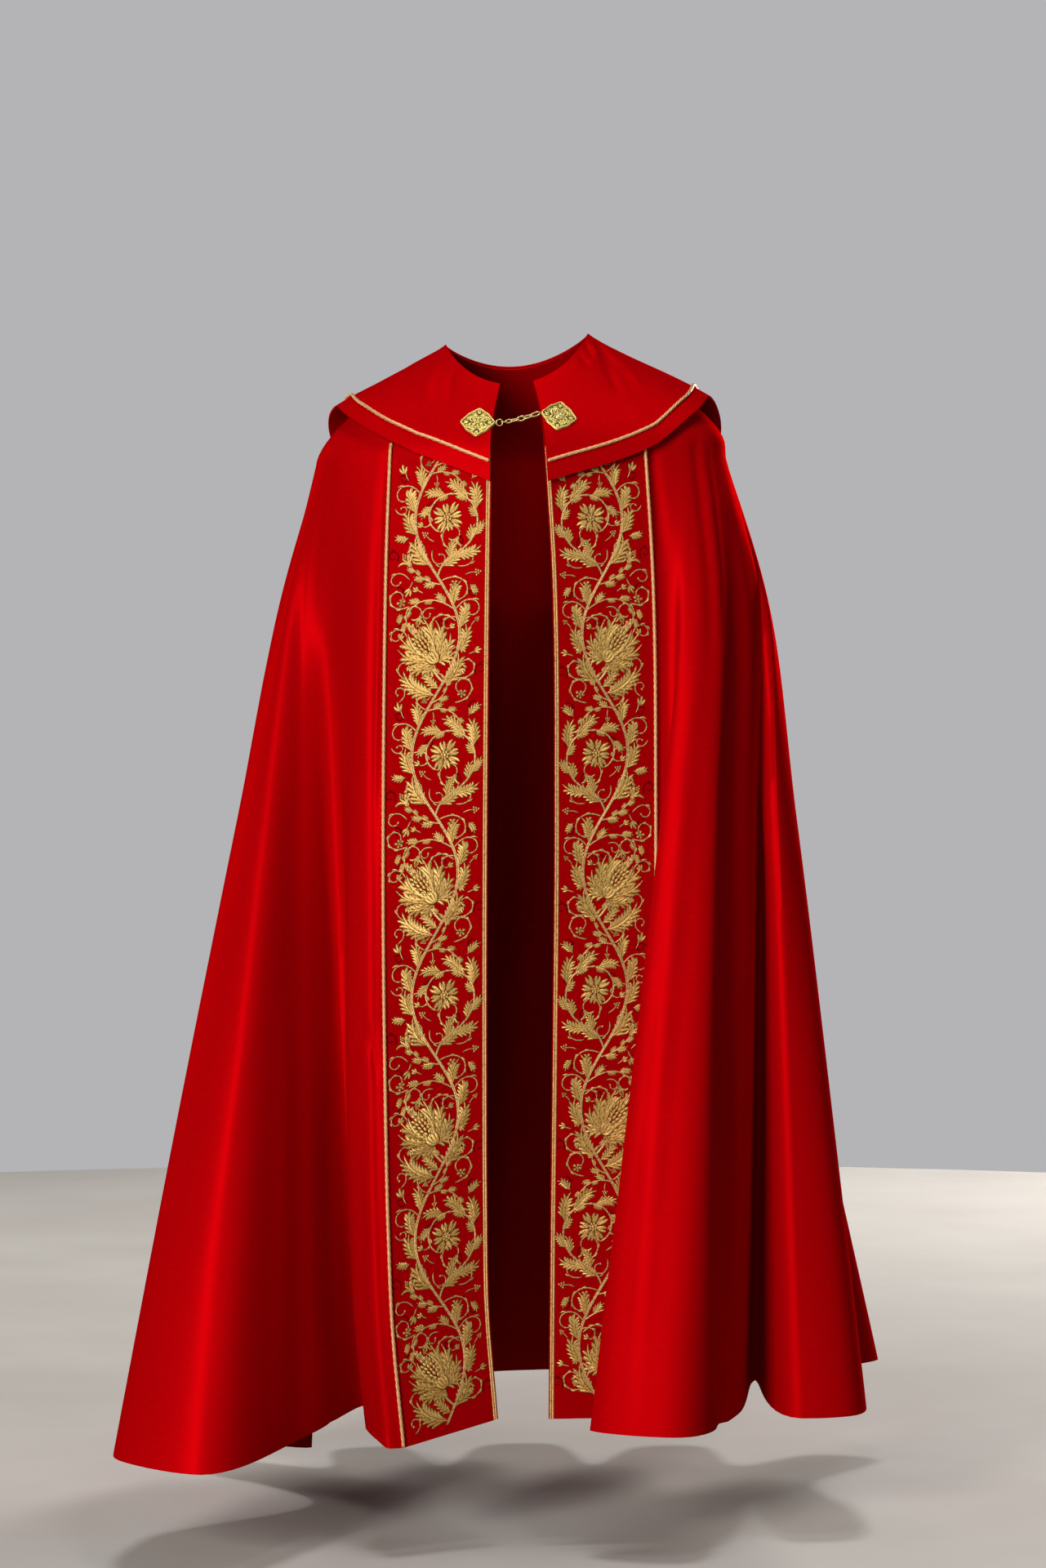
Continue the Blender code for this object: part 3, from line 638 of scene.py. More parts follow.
def worked_out(tree, operation, *values):
    return add_node(tree, "Math", dict(enumerate(values)), operation=operation).outputs["Value"]


def spread(tree, value, low, high):
    return add_node(tree, "MapRange", {"Value": value, "To Min": low, "To Max": high}).outputs["Result"]


def mixed(tree, factor, first, second, **options):
    inputs = {"Fac": factor, "Color1": first, "Color2": second}
    return add_node(tree, "MixRGB", inputs, **options).outputs["Color"]


def bumped(tree, height, strength, distance, **under):
    inputs = {"Height": height, "Strength": strength, "Distance": distance, **under}
    return add_node(tree, "Bump", inputs).outputs["Normal"]


def on_cut(tree):
    """Place on the flat cut, in metres."""
    return add_node(tree, "UVMap", uv_map="cut").outputs["UV"]


def shade_of(tree):
    """The painted shade and highlight that the mesh gives to low and high places."""
    return add_node(tree, "Attribute", attribute_name="shade").outputs["Fac"]


def ramp(tree, factor, *stops):
    node = add_node(tree, "ValToRGB", {"Fac": factor})
    elements = node.color_ramp.elements
    while len(elements) < len(stops):
        elements.new(0.5)
    for element, (place, colour) in zip(elements, stops):
        element.position = place
        element.color = rgba(colour)
    return node.outputs["Color"]


def finish_named(name, **shader_values):
    """A material with its shader, whose even values are set on the shader's own sockets."""
    made = bpy.data.materials.new(name)
    made.use_nodes = True
    tree = made.node_tree
    shader = tree.nodes["Principled BSDF"]
    for socket, value in shader_values.items():
        shader.inputs[socket.replace("_", " ")].default_value = value

    def lead(**sockets):
        """Link outputs to the shader and return the material."""
        for socket, value in sockets.items():
            tree.links.new(value, shader.inputs[socket.replace("_", " ")])
        return made

    return tree, lead


def wool_satin(name, colour, lustre):
    """Wool with a satin weave: long floats of yarn that give a soft lustre over a dense red.

    The lustre is the colour of the dyed fibre, so it comes from a small metallic share and a red sheen, not
    from a white gloss. The floats are drawn about 1.2 mm wide, four times the real yarn, so that they show.
    """
    tree, lead = finish_named(
        name, Metallic=lustre, Roughness=0.46, Sheen_Weight=0.14, Sheen_Roughness=0.4,
        Sheen_Tint=rgba("#FF0C08"), Specular_IOR_Level=0.0, Specular_Tint=rgba("#FF2018"))
    cut = on_cut(tree)
    broad = noise(tree, cut, 5.0, 3.0, 0.55)
    floats = noise(tree, mapped(tree, cut, Scale=(820, 70, 1)), 1.0, 2.0)
    twill = waves(tree, cut, 1.3, "DIAGONAL", Distortion=0.6, Detail=1.0, Detail_Scale=0.6)
    tone = mixed(tree, broad, rgba([part * 0.90 for part in colour]), rgba(colour))
    streak = mixed(tree, 0.22, tone, floats, blend_type="OVERLAY")
    weave = bumped(tree, worked_out(tree, "ADD", twill, floats), 0.22, 0.00018)
    nap = bumped(tree, noise(tree, cut, 38.0, 4.0), 0.10, 0.0022, Normal=weave)
    return lead(Base_Color=streak, Roughness=spread(tree, floats, 0.40, 0.56), Normal=nap)


def gold_thread(name, lit, middle, dark, spacing_mm, tilt, metallic=0.4, rough=0.36):
    """Metallised thread laid side by side: painted highlight along each stroke's crown, painted olive shade
    in the gaps.

    Each thread is drawn about 1 mm wide. The part-metal base gives the broken glitter of flat foil round
    silk.
    """
    tree, lead = finish_named(name, Metallic=metallic, Roughness=rough)
    lay = on_cut(tree)
    turned = mapped(tree, lay, Rotation=(0, 0, math.radians(tilt)))
    threads = waves(tree, turned, spacing_mm, Distortion=1.2, Detail=2.0, Detail_Scale=1.5)
    uneven = noise(tree, lay, 300.0, 3.0)
    change = worked_out(tree, "SUBTRACT", uneven, 0.5)
    # the mesh's painted shade and highlight, varied at random
    varied = worked_out(tree, "MULTIPLY_ADD", change, 1.3, shade_of(tree))
    # the grooves between threads are painted darker, as shade
    grooved = worked_out(tree, "MULTIPLY_ADD", threads, 0.30, varied)
    return lead(
        Base_Color=ramp(tree, grooved, (0.16, dark), (0.50, middle), (0.92, lit)),
        Roughness=spread(tree, uneven, rough - 0.12, rough + 0.16),
        Normal=bumped(tree, threads, 0.7, 0.00022))


def tonal_thread(name):
    """Dark red rayon thread, twisted and matt: fine curls that show only as a shade on the band."""
    tree, lead = finish_named(name, Roughness=0.6, Specular_IOR_Level=0.0)
    twist = waves(tree, on_cut(tree), 1.2, "DIAGONAL")
    # the grooves of the twist are painted darker, as shade
    return lead(Base_Color=ramp(tree, twist, (0.0, "#5E0206"), (1.0, "#860208")))


def gilt_brass(name, lit, dark, rough):
    """Stamped brass, gilded, with patina and painted shade in its recesses and a painted highlight on the
    high relief, olive below.

    A clear lacquer over it scatters some light, so that it is never as black as bare metal in a dark room.
    """
    tree, lead = finish_named(name, Metallic=0.6, Roughness=rough)
    stain = noise(tree, add_node(tree, "TexCoord").outputs["Object"], 900.0, 4.0)
    # random stains with the mesh's shade: patina and painted shade in the recesses, painted highlight on the
    # relief
    stain_and_shade = worked_out(tree, "MULTIPLY_ADD", worked_out(tree, "SUBTRACT", stain, 0.5), 0.6, shade_of(tree))
    return lead(
        Base_Color=ramp(tree, stain_and_shade, (0.10, dark), (0.62, lit)),
        Roughness=spread(tree, stain_and_shade, rough + 0.25, rough),
        Normal=bumped(tree, stain, 0.25, 0.0001))


def studio_floor(name):
    """Matt floor paint, warm pale grey with faint roller marks. It throws back less light than it shows."""
    tree, lead = finish_named(name, Roughness=0.75, Specular_IOR_Level=0.2)
    marks = noise(tree, add_node(tree, "TexCoord").outputs["Object"], 3.0, 6.0)
    colour = ramp(tree, marks, (0.3, "#CFCCC8"), (0.7, "#D8D6D2"))
    seen = add_node(tree, "LightPath").outputs["Is Camera Ray"]
    return lead(Base_Color=mixed(tree, seen, rgba("#6A6866"), colour))


def finish_for(name):
    """The named finish, made once."""
    chosen = settings()
    # the thread, cord and gilt finishes list a lit colour, used as painted highlight, and a dark one, used as
    # painted shade
    make, *values = {
        "red_wool_satin": (wool_satin, chosen.cloth_colour, 0.20),
        "red_band_satin": (wool_satin, chosen.band_colour, 0.12),
        "gold_embroidery_thread": (
            gold_thread, chosen.thread_colour, "#CC882A", "#2A1203", 1.1, 62, 0.4, 0.30),
        "copper_gold_thread": (gold_thread, "#FFD692", "#D08A40", "#3E1A06", 1.0, 40),
        "pale_gold_twist": (gold_thread, chosen.cord_colour, "#F09C52", "#84360C", 0.9, 30, 0.25),
        "gold_braid_foil": (gold_thread, "#FFD08A", "#DC9044", "#4A1E06", 1.0, 40),
        "dark_red_rayon_thread": (tonal_thread,),
        "gilt_brass": (gilt_brass, chosen.metal_colour, "#3E2E0A", 0.26),
        "gilt_brass_wire": (gilt_brass, "#FFE9A0", "#A88030", 0.26),
        "painted_floor": (studio_floor,),
    }[name]
    return bpy.data.materials.get(name) or make(name, *values)


def place_piece(name, mesh, finish, node=None):
    """A mesh as a piece of the garment, with its finish, riding on its one body in its solid's place."""
    piece = bpy.data.objects.new(name, mesh)
    bpy.context.scene.collection.objects.link(piece)
    mesh.materials.clear()
    mesh.materials.append(finish_for(finish))
    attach(piece, "root")
    if node:
        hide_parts(node)
    return piece


def mesh_from(name, points, faces, cut, shade=None):
    """A smooth mesh with its place on the cut as UVs, in metres, and its shade as an attribute."""
    mesh = bpy.data.meshes.new(name)
    mesh.from_pydata(np.asarray(points).tolist(), [], np.asarray(faces).tolist())
    layer = mesh.uv_layers.new(name="cut")
    corners = np.asarray(faces).ravel()
    layer.data.foreach_set("uv", np.asarray(cut, np.float32)[corners].ravel())
    tone = mesh.attributes.new("shade", "FLOAT", "POINT")
    tone.data.foreach_set("value", np.asarray(np.ones(len(points)) if shade is None else shade, np.float32))
    mesh.shade_smooth()
    return mesh


def quads_of(corners):
    """Quads between the rows and columns of an array of corner numbers."""
    quads = np.stack([corners[:-1, :-1], corners[:-1, 1:], corners[1:, 1:], corners[1:, :-1]], axis=-1)
    return quads.reshape(-1, 4)


def grid_faces(rows, columns, around=False):
    """Quads of a grid, its columns joined end to end where it goes round."""
    corners = np.arange(rows * columns).reshape(rows, columns)
    if around:
        corners = np.concatenate([corners, corners[:, :1]], axis=1)
    return quads_of(corners)


def left_of(along):
    """The direction to the left of another, or of each in an array."""
    return np.stack([-along[..., 1], along[..., 0]], axis=-1)


def cloth_piece(node, grid, cut, finish, thickness):
    """A sheet of cloth from its outer face, walled inwards with crisp edges, in its solid's place."""
    mesh = mesh_from(node, grid.reshape(-1, 3), grid_faces(*grid.shape[:2]), cut.reshape(-1, 2))
    piece = place_piece("cloth_" + node, mesh, finish, node)
    wall = piece.modifiers.new("wall", "SOLIDIFY")
    wall.thickness = thickness
    wall.offset = -1
    bpy.context.view_layer.update()
    solid = bpy.data.meshes.new_from_object(piece.evaluated_get(bpy.context.evaluated_depsgraph_get()))
    piece.modifiers.clear()
    piece.data = solid
    solid.set_sharp_from_angle(angle=math.radians(EDGE_SHARP))
    return piece


def runs(grid, axis):
    """Distance along the rows or columns of a grid."""
    steps = np.linalg.norm(np.diff(grid, axis=axis), axis=2)
    first = np.zeros_like(np.take(steps, [0], axis=axis))
    return np.concatenate([first, np.cumsum(steps, axis=axis)], axis=axis)


def crease_heights(grid, around, rows, line_at, span):
    """How far the rows of a crease table lift a grid of cloth. Each crease tapers out at both ends."""
    height = np.zeros(grid.shape[:2])
    t = np.linspace(0, 1, CREASE_POINTS)
    for start, start_down, end, end_down, bow, half_width, rise in rows:
        across = start + (end - start) * t + bow * np.sin(math.pi * t)
        line = line_at(across, start_down + (end_down - start_down) * t)
        columns = np.flatnonzero((around > across.min() - span) & (around < across.max() + span))
        part = grid[:, columns]
        away = np.linalg.norm(part[:, :, None, :] - line[None, None], axis=3)
        nearest = away.argmin(axis=2)
        taper = np.sin(math.pi * (nearest + 0.5) / CREASE_POINTS) ** CREASE_TAPER
        reach = away.min(axis=2) / (half_width / 1000)
        height[:, columns] += rise / 1000 * settings().crease_share * taper * np.exp(-reach**2)
    return height


def fine_rows():
    over = np.linspace(0, 1, YOKE_FINE + 1)
    below = np.linspace(1, 2, SKIRT_FINE + 1)
    return np.concatenate([over, below[1:]])


def body_swell(folds, down):
    """A slight unevenness of hung cloth, fading out at the neck, at the seams and under the collar."""
    wave = np.sin(folds * 1.9 + 2.3 * down) * np.sin(5.1 * down + 0.6 * folds)
    wave = wave + 0.6 * np.sin(folds * 3.7 - 4.0 * down + 1.0)
    return CLOTH_SWELL * wave * np.clip((down - 0.9) / 0.3, 0, 1)


def body_pieces():
    """The four panels of the semicircle, with their creases, laid out as they were cut for the weave."""
    down = fine_rows()[:, None]
    folds = np.linspace(0, LAST_FOLD, LAST_FOLD * COLUMNS_PER_FOLD + 1)[None, :]
    plain = body_at(folds, down)
    relief = crease_heights(plain, folds[0], BODY_CREASES, body_at, 1.5) + body_swell(folds, down)
    across = runs(plain, 1)
    to_seam = np.minimum(across, across[:, -1:] - across)
    relief = relief * np.clip(to_seam / SEAM_CALM, 0, 1) * np.clip(down / NECK_CALM, 0, 1)
    face = plain + outward(plain) * relief[..., None]
    radius = CUT_NECK + runs(plain, 0)
    angle = math.pi * at_folds(folds, HEM_RUN) / HEM_RUN[-1]
    cut = np.stack([radius * np.cos(angle), radius * np.sin(angle)], axis=-1)
    seams = [0] + [HEM_NAMES.index(name) for name in PANEL_SEAMS] + [LAST_FOLD]
    for name, start, end in zip(PANELS, seams, seams[1:]):
        chosen = slice(start * COLUMNS_PER_FOLD, end * COLUMNS_PER_FOLD + 1)
        grid = face[:, chosen]
        piece = cloth_piece(name, grid, cut[:, chosen], "red_wool_satin", CLOTH)


def band_face(side, across, down):
    """The outer face of a band as worn, with a slight unevenness down its length."""
    flat = band_at(side, across, down)
    beside = band_at(side, across + BAND_PROBE, down) - band_at(side, across - BAND_PROBE, down)
    below = band_at(side, across, down + BAND_PROBE) - band_at(side, across, down - BAND_PROBE)
    normal = unit(np.cross(beside * -side, below))
    inside = np.clip(np.minimum(across, 1 - across) / BAND_CALM, 0, 1) * np.clip(down - 1, 0, 1)
    wave = np.sin(7.0 * down + 1.3 * side) + 0.7 * np.sin(13.0 * down + 2.0 * across)
    return flat + normal * (BAND_SWELL * wave * inside)[..., None], normal


def band_pieces():
    down = fine_rows()[:, None]
    for name, side in SIDES:
        across, below = np.broadcast_arrays(np.linspace(0, 1, BAND_FINE + 1)[None, ::-side], down)
        grid, _ = band_face(side, across, below)
        cut = np.stack([across * BAND_WIDTH, runs(grid, 0)], axis=-1)
        piece = cloth_piece("orphrey_" + name, grid, cut, "red_band_satin", BAND_CLOTH)


def stroke_mesh(name, strokes, place, rise, outline=OUTLINE, fullness=0.78):
    """Domed strokes of thread in one mesh, painted bright on the crown and ringed with a thin rim of painted
    shade. Place puts points on their carrier.
    """
    # across a stroke: side, how far past its edge in millimetres, share of its crown's height, and shade,
    # which is painted: dark at the rim past the edge and bright on the crown
    section = ((-1.0, outline, 0.02, 0.0), (-1.0, 0.0, 0.35, 0.30), (0.0, 0.0, 1.0, 1.0),
               (1.0, 0.0, 0.35, 0.30), (1.0, outline, 0.02, 0.0))
    flat, heights, shades, cuts, faces = [], [], [], [], []
    count = 0
    for number, (line, widths, height, light, raised, _) in enumerate(strokes):
        out = left_of(unit(np.gradient(line, axis=0)))
        along = distances(line)
        lift = raised * rise + (number % 7) * STROKE_STEP
        crown = np.clip(widths / max(widths.max(), 1e-6), 0.15, 1) ** 0.6 * height * rise
        half = widths / 2 * fullness
        for sign, extra, up, tone in section:
            offset = sign * half + math.copysign(extra, sign)
            flat.append(line + out * offset[:, None])
            heights.append(np.maximum(crown * up, 0.03) + lift)
            shades.append(tone * light)
            cuts.append(np.stack([offset, along], axis=1) / 1000)
        corners = np.arange(len(section) * len(line)).reshape(len(section), -1).T + count
        faces.append(quads_of(corners))
        count += corners.size
    points = place(np.concatenate(flat), np.concatenate(heights))
    return mesh_from(name, points, np.concatenate(faces), np.concatenate(cuts), np.concatenate(shades))


def heading_of(line, share):
    """Point and direction at a share of the way along a line."""
    place = share * (len(line) - 1)
    low = int(min(max(place, 0), len(line) - 2))
    step = line[low + 1] - line[low]
    return line[low] + step * (place - low), step / np.linalg.norm(step)


def arc(start, heading, length, bend=0.0, curl=1.0, points=9):
    """A line whose heading turns by bend degrees, later rather than sooner where curl is over 1."""
    t = (np.arange(points - 1) + 0.5) / (points - 1)
    turn = np.radians(heading + bend * t**curl)
    steps = np.stack([np.cos(turn), np.sin(turn)], axis=1) * length / (points - 1)
    return np.concatenate([[start], start + np.cumsum(steps, axis=0)])


def hook(start, through, end, points=6):
    """A curved line from start to end, drawn towards a third point."""
    t = np.linspace(0, 1, points)[:, None]
    return (1 - t) ** 2 * start + 2 * t * (1 - t) * through + t**2 * end


def blade(work, line, width, height=0.9, belly=0.9, light=1.0, lift=0.0, root=0.62):
    """A stroke of satin stitch that swells between two pointed ends, with painted shade darkening it towards
    its root.
    """
    t = np.linspace(0, 1, len(line))
    widths = np.maximum(width * np.sin(math.pi * t**belly) ** 0.7, 0.12)
    work.append((line, widths, height, light * (root + (1 - root) * t), lift, "leaf"))


def stalk(work, line, width, end=0.6, height=0.8, light=0.9, lift=0.0):
    """A stroke of nearly even width with closed ends, couched down along a stem."""
    t = np.linspace(0, 1, len(line))
    closed = np.clip(np.minimum(t, 1 - t) * len(line) / 1.2, 0.12, 1) ** 0.5
    work.append((line, width * (1 - (1 - end) * t) * closed, height, light + 0 * t, lift, "stem"))


def bead(work, centre, size, height=1.0, light=1.0, lift=0.0):
    t = np.array([-1.0, -0.75, -0.2, 0.35, 0.8, 1.0])
    line = centre + t[:, None] * np.array([0.0, size / 2])
    work.append((line, size * np.sqrt(np.clip(1.02 - t**2, 0, 1)), height, light + 0 * t, lift, "leaf"))


def turn_of(along):
    return math.degrees(math.atan2(along[1], along[0]))


def ray_to(heading):
    return np.array([math.cos(math.radians(heading)), math.sin(math.radians(heading))])


def end_of(line, share=1):
    """Point and heading in degrees at a share of the way along a line."""
    point, along = heading_of(line, share)
    return point, turn_of(along)


def bud(work, root, heading, size, light=1.0, lift=0.0):
    for spread, share in ((-46, 0.8), (46, 0.8), (0, 1.0)):
        blade(work, arc(root, heading + spread, size * share, -spread * 0.7, points=6), size * 0.36,
              light=light, lift=lift)


def leaf(work, root, heading, length, width, bend=0.0, lobes=4, light=1.0, lift=0.0):
    """An acanthus leaf: flutes that run up its rib and flare out into hooked lobes on both sides."""
    rib = arc(root, heading, length, bend, points=11)
    for side in (-1, 1):
        for k in range(lobes):
            t0 = 0.04 + 0.58 * k / lobes
            t1 = t0 + 0.27 + 0.06 * k / lobes
            base, _ = heading_of(rib, t0)
            through, ahead = heading_of(rib, min(t0 + 0.24, 1))
            tip, along = heading_of(rib, min(t1, 1))
            reach = width / 2 * math.sin(math.pi * (0.26 + 0.56 * t1)) ** 0.8
            tip = tip + side * left_of(along) * reach + along * width * 0.10
            through = through + side * left_of(ahead) * reach * 0.30 + ahead * width * 0.05
            # lobes on the inside of the bend get painted shade
            tone = light * (0.86 if side * math.copysign(1, bend) < 0 else 1.0)
            lobe = hook(base, through, tip)
            blade(work, lobe, length * 0.40 / lobes + width * 0.06, 0.9, 1.35, tone, lift)
    blade(work, rib, width * 0.22, 1.15, 0.85, light, lift + 0.12)


def tendril(work, root, heading, length, bend, width=1.5, curl=1.7, tip="bud"):
    """A thin stem that curls up, with a thorn leaf on the way and a bud or grain in its eye."""
    line = arc(root, heading, length, bend, curl, points=max(12, int(length / 2.8)))
    stalk(work, line, width, 0.7)
    end, turn = end_of(line)
    if tip == "bud":
        bud(work, end, turn + math.copysign(24, bend), length * 0.15 + 2.5)
    else:
        bead(work, end, width * 2.0)
    thorn, turn = end_of(line, 0.40)
    way = math.copysign(1, bend)
    blade(work, arc(thorn, turn - way * 36, length * 0.12 + 2, way * 60, points=6), width * 1.4)


def scroll(work, root, heading, length, bend, tip):
    """A thin stem that winds in on itself, with hooked leaves outside its bend and a small flower in it."""
    line = arc(root, heading, length, bend, 1.6, points=max(14, int(length / 2.4)))
    stalk(work, line, 1.5, 0.75, lift=-0.25)
    way = math.copysign(1, bend)
    for share in (0.16, 0.34, 0.52, 0.68):
        point, turn = end_of(line, share)
        blade(work, arc(point, turn - way * 30, 8.5 - 4 * share, way * 70, points=6), 2.1)
    end, turn = end_of(line)
    if tip == "star":
        rosette(work, end + ray_to(turn) * 3.5, 11.5, 5, turn)
    elif tip == "bell":
        bell(work, end, turn, 13)
    elif tip == "berries":
        berries(work, end, turn, 2.0, 4)
    else:
        bud(work, end, turn + way * 20, 8.5)


def berries(work, root, heading, size, rows=4):
    """A cluster of berries in rows, widest near its foot."""
    along = ray_to(heading)
    out = left_of(along)
    for row in range(rows):
        count = rows - row
        for k in range(count):
            centre = root + along * size * (row + 0.5) * 0.86 + out * size * (k - (count - 1) / 2)
            bead(work, centre, size * 0.80, light=0.95)


def bell(work, root, heading, size):
    """A bell flower: petals that open and turn back round a cluster of berries."""
    berries(work, root + ray_to(heading) * size * 0.62, heading, size * 0.17, 3)
    for spread, bend, share in ((-26, -95, 1.0), (26, 95, 1.0), (-10, -22, 0.74), (10, 22, 0.74)):
        line = arc(root, heading + spread, size * share, bend, 1.8, points=9)
        # the petals on one side get painted shade
        blade(work, line, size * 0.22, belly=1.1, light=0.88 + 0.12 * (spread > 0))
    bud(work, root - ray_to(heading) * size * 0.10, heading, size * 0.36, lift=0.2)


def rosette(work, centre, size, petals=8, turn=0.0):
    """A round flower of cleft petals with a beaded eye."""
    for k in range(petals):
        angle = turn + 360 * k / petals
        reach = size / 2 * (1.0 if k % 2 else 0.86)
        start = centre + ray_to(angle) * reach * 0.22
        for side in (-1, 1):
            line = arc(start, angle + side * 26, reach * 0.84, -side * 36, points=7)
            # one half of each cleft petal gets painted shade
            blade(work, line, size * 0.120, belly=1.35, light=0.86 + 0.14 * (side > 0))
        blade(work, arc(start, angle, reach * 0.60, points=6), size * 0.065, 1.2, lift=0.15)
    for k in range(7):
        bead(work, centre + size * 0.10 * ray_to(turn + 360 * k / 7), size * 0.085, 1.2, lift=0.3)
    bead(work, centre, size * 0.12, 1.4, lift=0.3)


def palmette(work, root, heading, size):
    """A large fantasy bloom: toothed leaves that open round a scaled heart with a beaded crown."""
    for spread, share, bend, lobes in (
        (128, 0.44, 50, 3), (100, 0.62, 70, 4), (68, 0.82, 66, 4), (38, 0.92, 40, 4),
    ):
        for side in (-1, 1):
            # the leaves on one side get painted shade
            leaf(work, root, heading + side * spread, size * share, size * 0.25, -side * bend, lobes,
                 0.88 + 0.12 * (side > 0))
    along = ray_to(heading)
    out = left_of(along)
    for side in (-1, 1):
        blade(work, arc(root, heading + side * 40, size * 0.80, side * -62, points=12), size * 0.09, 1.2,
              lift=0.5)
    rows = 7
    for row in range(rows):
        t = (row + 0.7) / rows
        wide = size * 0.36 * math.sin(math.pi * (0.12 + 0.80 * t)) ** 0.8
        count = max(1, round(wide / (size * 0.072)))
        for k in range(count):
            centre = root + along * size * (0.10 + 0.62 * t) + out * wide * ((k + 0.5) / count - 0.5)
            lean = heading + 60 * ((k + 0.5) / count - 0.5)
            scale = arc(centre - ray_to(lean) * size * 0.05, lean, size * 0.105, points=6)
            blade(work, scale, size * 0.070, 1.1, 0.8, lift=0.65)
    for spread in (-30, 0, 30):
        ray = arc(root + along * size * 0.68, heading + spread, size * (0.16 if spread else 0.22), -spread,
                  points=6)
        stalk(work, ray, size * 0.030, 1.0, lift=0.5)
        bead(work, ray[-1], size * 0.065, 1.2, lift=0.5)
    for spread in (-64, -22, 22, 64):
        blade(work, arc(root - along * size * 0.05, heading + spread, size * 0.26, -spread * 1.3, points=8),
              size * 0.095, 1.2, lift=0.9)


def spiral(centre, wide, narrow, first, last, points=48):
    """A line that winds in towards a centre, from one angle to another in degrees."""
    t = np.linspace(0, 1, points)
    angle = np.radians(first + (last - first) * t)
    reach = wide + (narrow - wide) * t**0.8
    return centre + reach[:, None] * np.stack([np.cos(angle), np.sin(angle)], axis=1)


def stem_at(y):
    """Sway of the main stem at a height, in millimetres."""
    return -SWAY * np.cos(math.pi * y / TURN)


def on_stem(y):
    return np.array([float(stem_at(y)), float(y)])


def spray(work, root, heading, length, bend, size, curl, tip):
    """A curling branch with leaves on both sides by turns, which grow smaller towards its tip."""
    line = arc(root, heading, length, bend, curl, points=max(12, int(length / 3)))
    stalk(work, line, 1.9, 0.6)
    way = math.copysign(1, bend)
    for side, share in ((-1, 0.14), (1, 0.30), (-1, 0.46), (1, 0.62), (-1, 0.78)):
        point, turn = end_of(line, share)
        long = size * (1 - 0.45 * share) * (1.0 if side < 0 else 0.72)
        # the leaves on one side get painted shade
        leaf(work, point, turn + side * way * 38, long, long * 0.44, -side * way * 50, 4,
             1.0 if side < 0 else 0.93)
    end, turn = end_of(line)
    if tip == "bud":
        bud(work, end, turn + way * 20, size * 0.42)
    elif tip == "bell":
        bell(work, end, turn, size * 0.85)
    else:
        rosette(work, end + ray_to(turn) * size * 0.22, size * 0.86, 6, 20)


# thin scrolls in the hollows: where each starts, its heading, length and bend, and what ends it
SCROLLS = {
    "bloom": [
        (-5.0, 67.0, 158, 84, 340, "star"),
        (-24.0, 16.0, 44, 52, -210, "berries"),
        (-22.0, -52.0, 200, 62, -310, "bud"),
        (22.0, 8.0, 20, 62, 280, "bell"),
        (34.0, 38.0, -20, 60, 320, "star"),
        (36.0, 0.0, 66, 44, -300, "bud"),
    ],
    "flower": [
        (24.0, 62.0, 8, 70, 330, "star"),
        (-29.0, 4.0, 20, 40, -230, "bud"),
        (-12.0, 56.0, 150, 60, -320, "berries"),
        (20.0, -44.0, 150, 66, -280, "bell"),
        (-14.0, -58.0, 176, 66, -300, "star"),
    ],
}


def half_turn(hand, kind):
    """One hollow of the scroll, with its centre at 0, 0 and the stem on the side away from the hand."""
    work = []
    y = np.linspace(-TURN / 2 - 5, TURN / 2 + 3, 40)
    line = np.stack([stem_at(y), y], axis=1)
    for shift in (-0.9, 0.9):
        stalk(work, line + [shift, 0], 1.9, 1.0, 1.0, 0.9)
    # leaves and curls on the outside of the stem's bend
    leaf(work, on_stem(-60), 156, 46, 20, -78, 5, 0.95)
    leaf(work, on_stem(-22), 140, 38, 16, -66, 5)
    leaf(work, on_stem(6), 122, 36, 15, -48, 5)
    tendril(work, on_stem(30), 128, 62, 300, 1.6)
    tendril(work, on_stem(-36), 172, 34, 250, 1.3)
    for x, y, heading, length, bend, tip in SCROLLS[kind]:
        scroll(work, np.array([x, y]), heading, length, bend, tip)
    leaf(work, on_stem(34), 74, 34, 14, 62, 5)
    if kind == "bloom":
        leaf(work, on_stem(-73), 2, 56, 22, 74, 6)
        leaf(work, on_stem(-66), 30, 30, 12, 40, 4, 0.93)
        stalk(work, arc(on_stem(-58), 44, 26, 20, points=10), 3.4, 0.9)
        palmette(work, np.array([1.0, -31.0]), 55, 64)
        tendril(work, on_stem(-40), 66, 36, 150, 1.4)
        spray(work, on_stem(30), 36, 100, -196, 22, 1.7, "star")
        spray(work, on_stem(62), 8, 50, 50, 20, 1.0, "bell")
        tendril(work, on_stem(20), 20, 34, -230, 1.4)
        tendril(work, np.array([34.0, -52.0]), 20, 40, 230, 1.4)
        tendril(work, np.array([12.0, -68.0]), -8, 40, 160, 1.3, tip="bead")
    else:
        wind = spiral(np.array([12.0, -2.0]), 46, 19, -78, 240)
        branch = np.concatenate([hook(on_stem(-74), np.array([5.0, -55.0]), wind[0], 10)[:-1], wind])
        stalk(work, branch, 3.0, 0.6)
        outer = ((0.06, -46, 36, 66), (0.16, -44, 36, 60), (0.27, -24, 24, 34), (0.40, -36, 38, 50),
                 (0.50, -40, 34, 60), (0.62, -44, 30, 64), (0.74, -40, 22, 60))
        inner = ((0.12, 50, 26, -46), (0.24, 44, 24, -46), (0.36, 42, 20, -46), (0.48, 38, 18, -46),
                 (0.60, 36, 16, -46))
        for leaves, fullness, lobes, light in ((outer, 0.42, 5, 1.0), (inner, 0.46, 4, 0.94)):
            for share, out, size, bend in leaves:
                point, turn = end_of(branch, share)
                leaf(work, point, turn + out, size, size * fullness, bend, lobes, light)
        rosette(work, np.array([12.0, -1.0]), 39, 8, 12)
        spray(work, on_stem(54), 18, 56, -100, 17, 1.2, "bell")
        spray(work, on_stem(64), 16, 62, 200, 16, 1.4, "bud")
        tendril(work, np.array([26.0, -62.0]), -10, 38, 220, 1.4)
    return [(line * [hand, 1], *rest) for line, *rest in work]


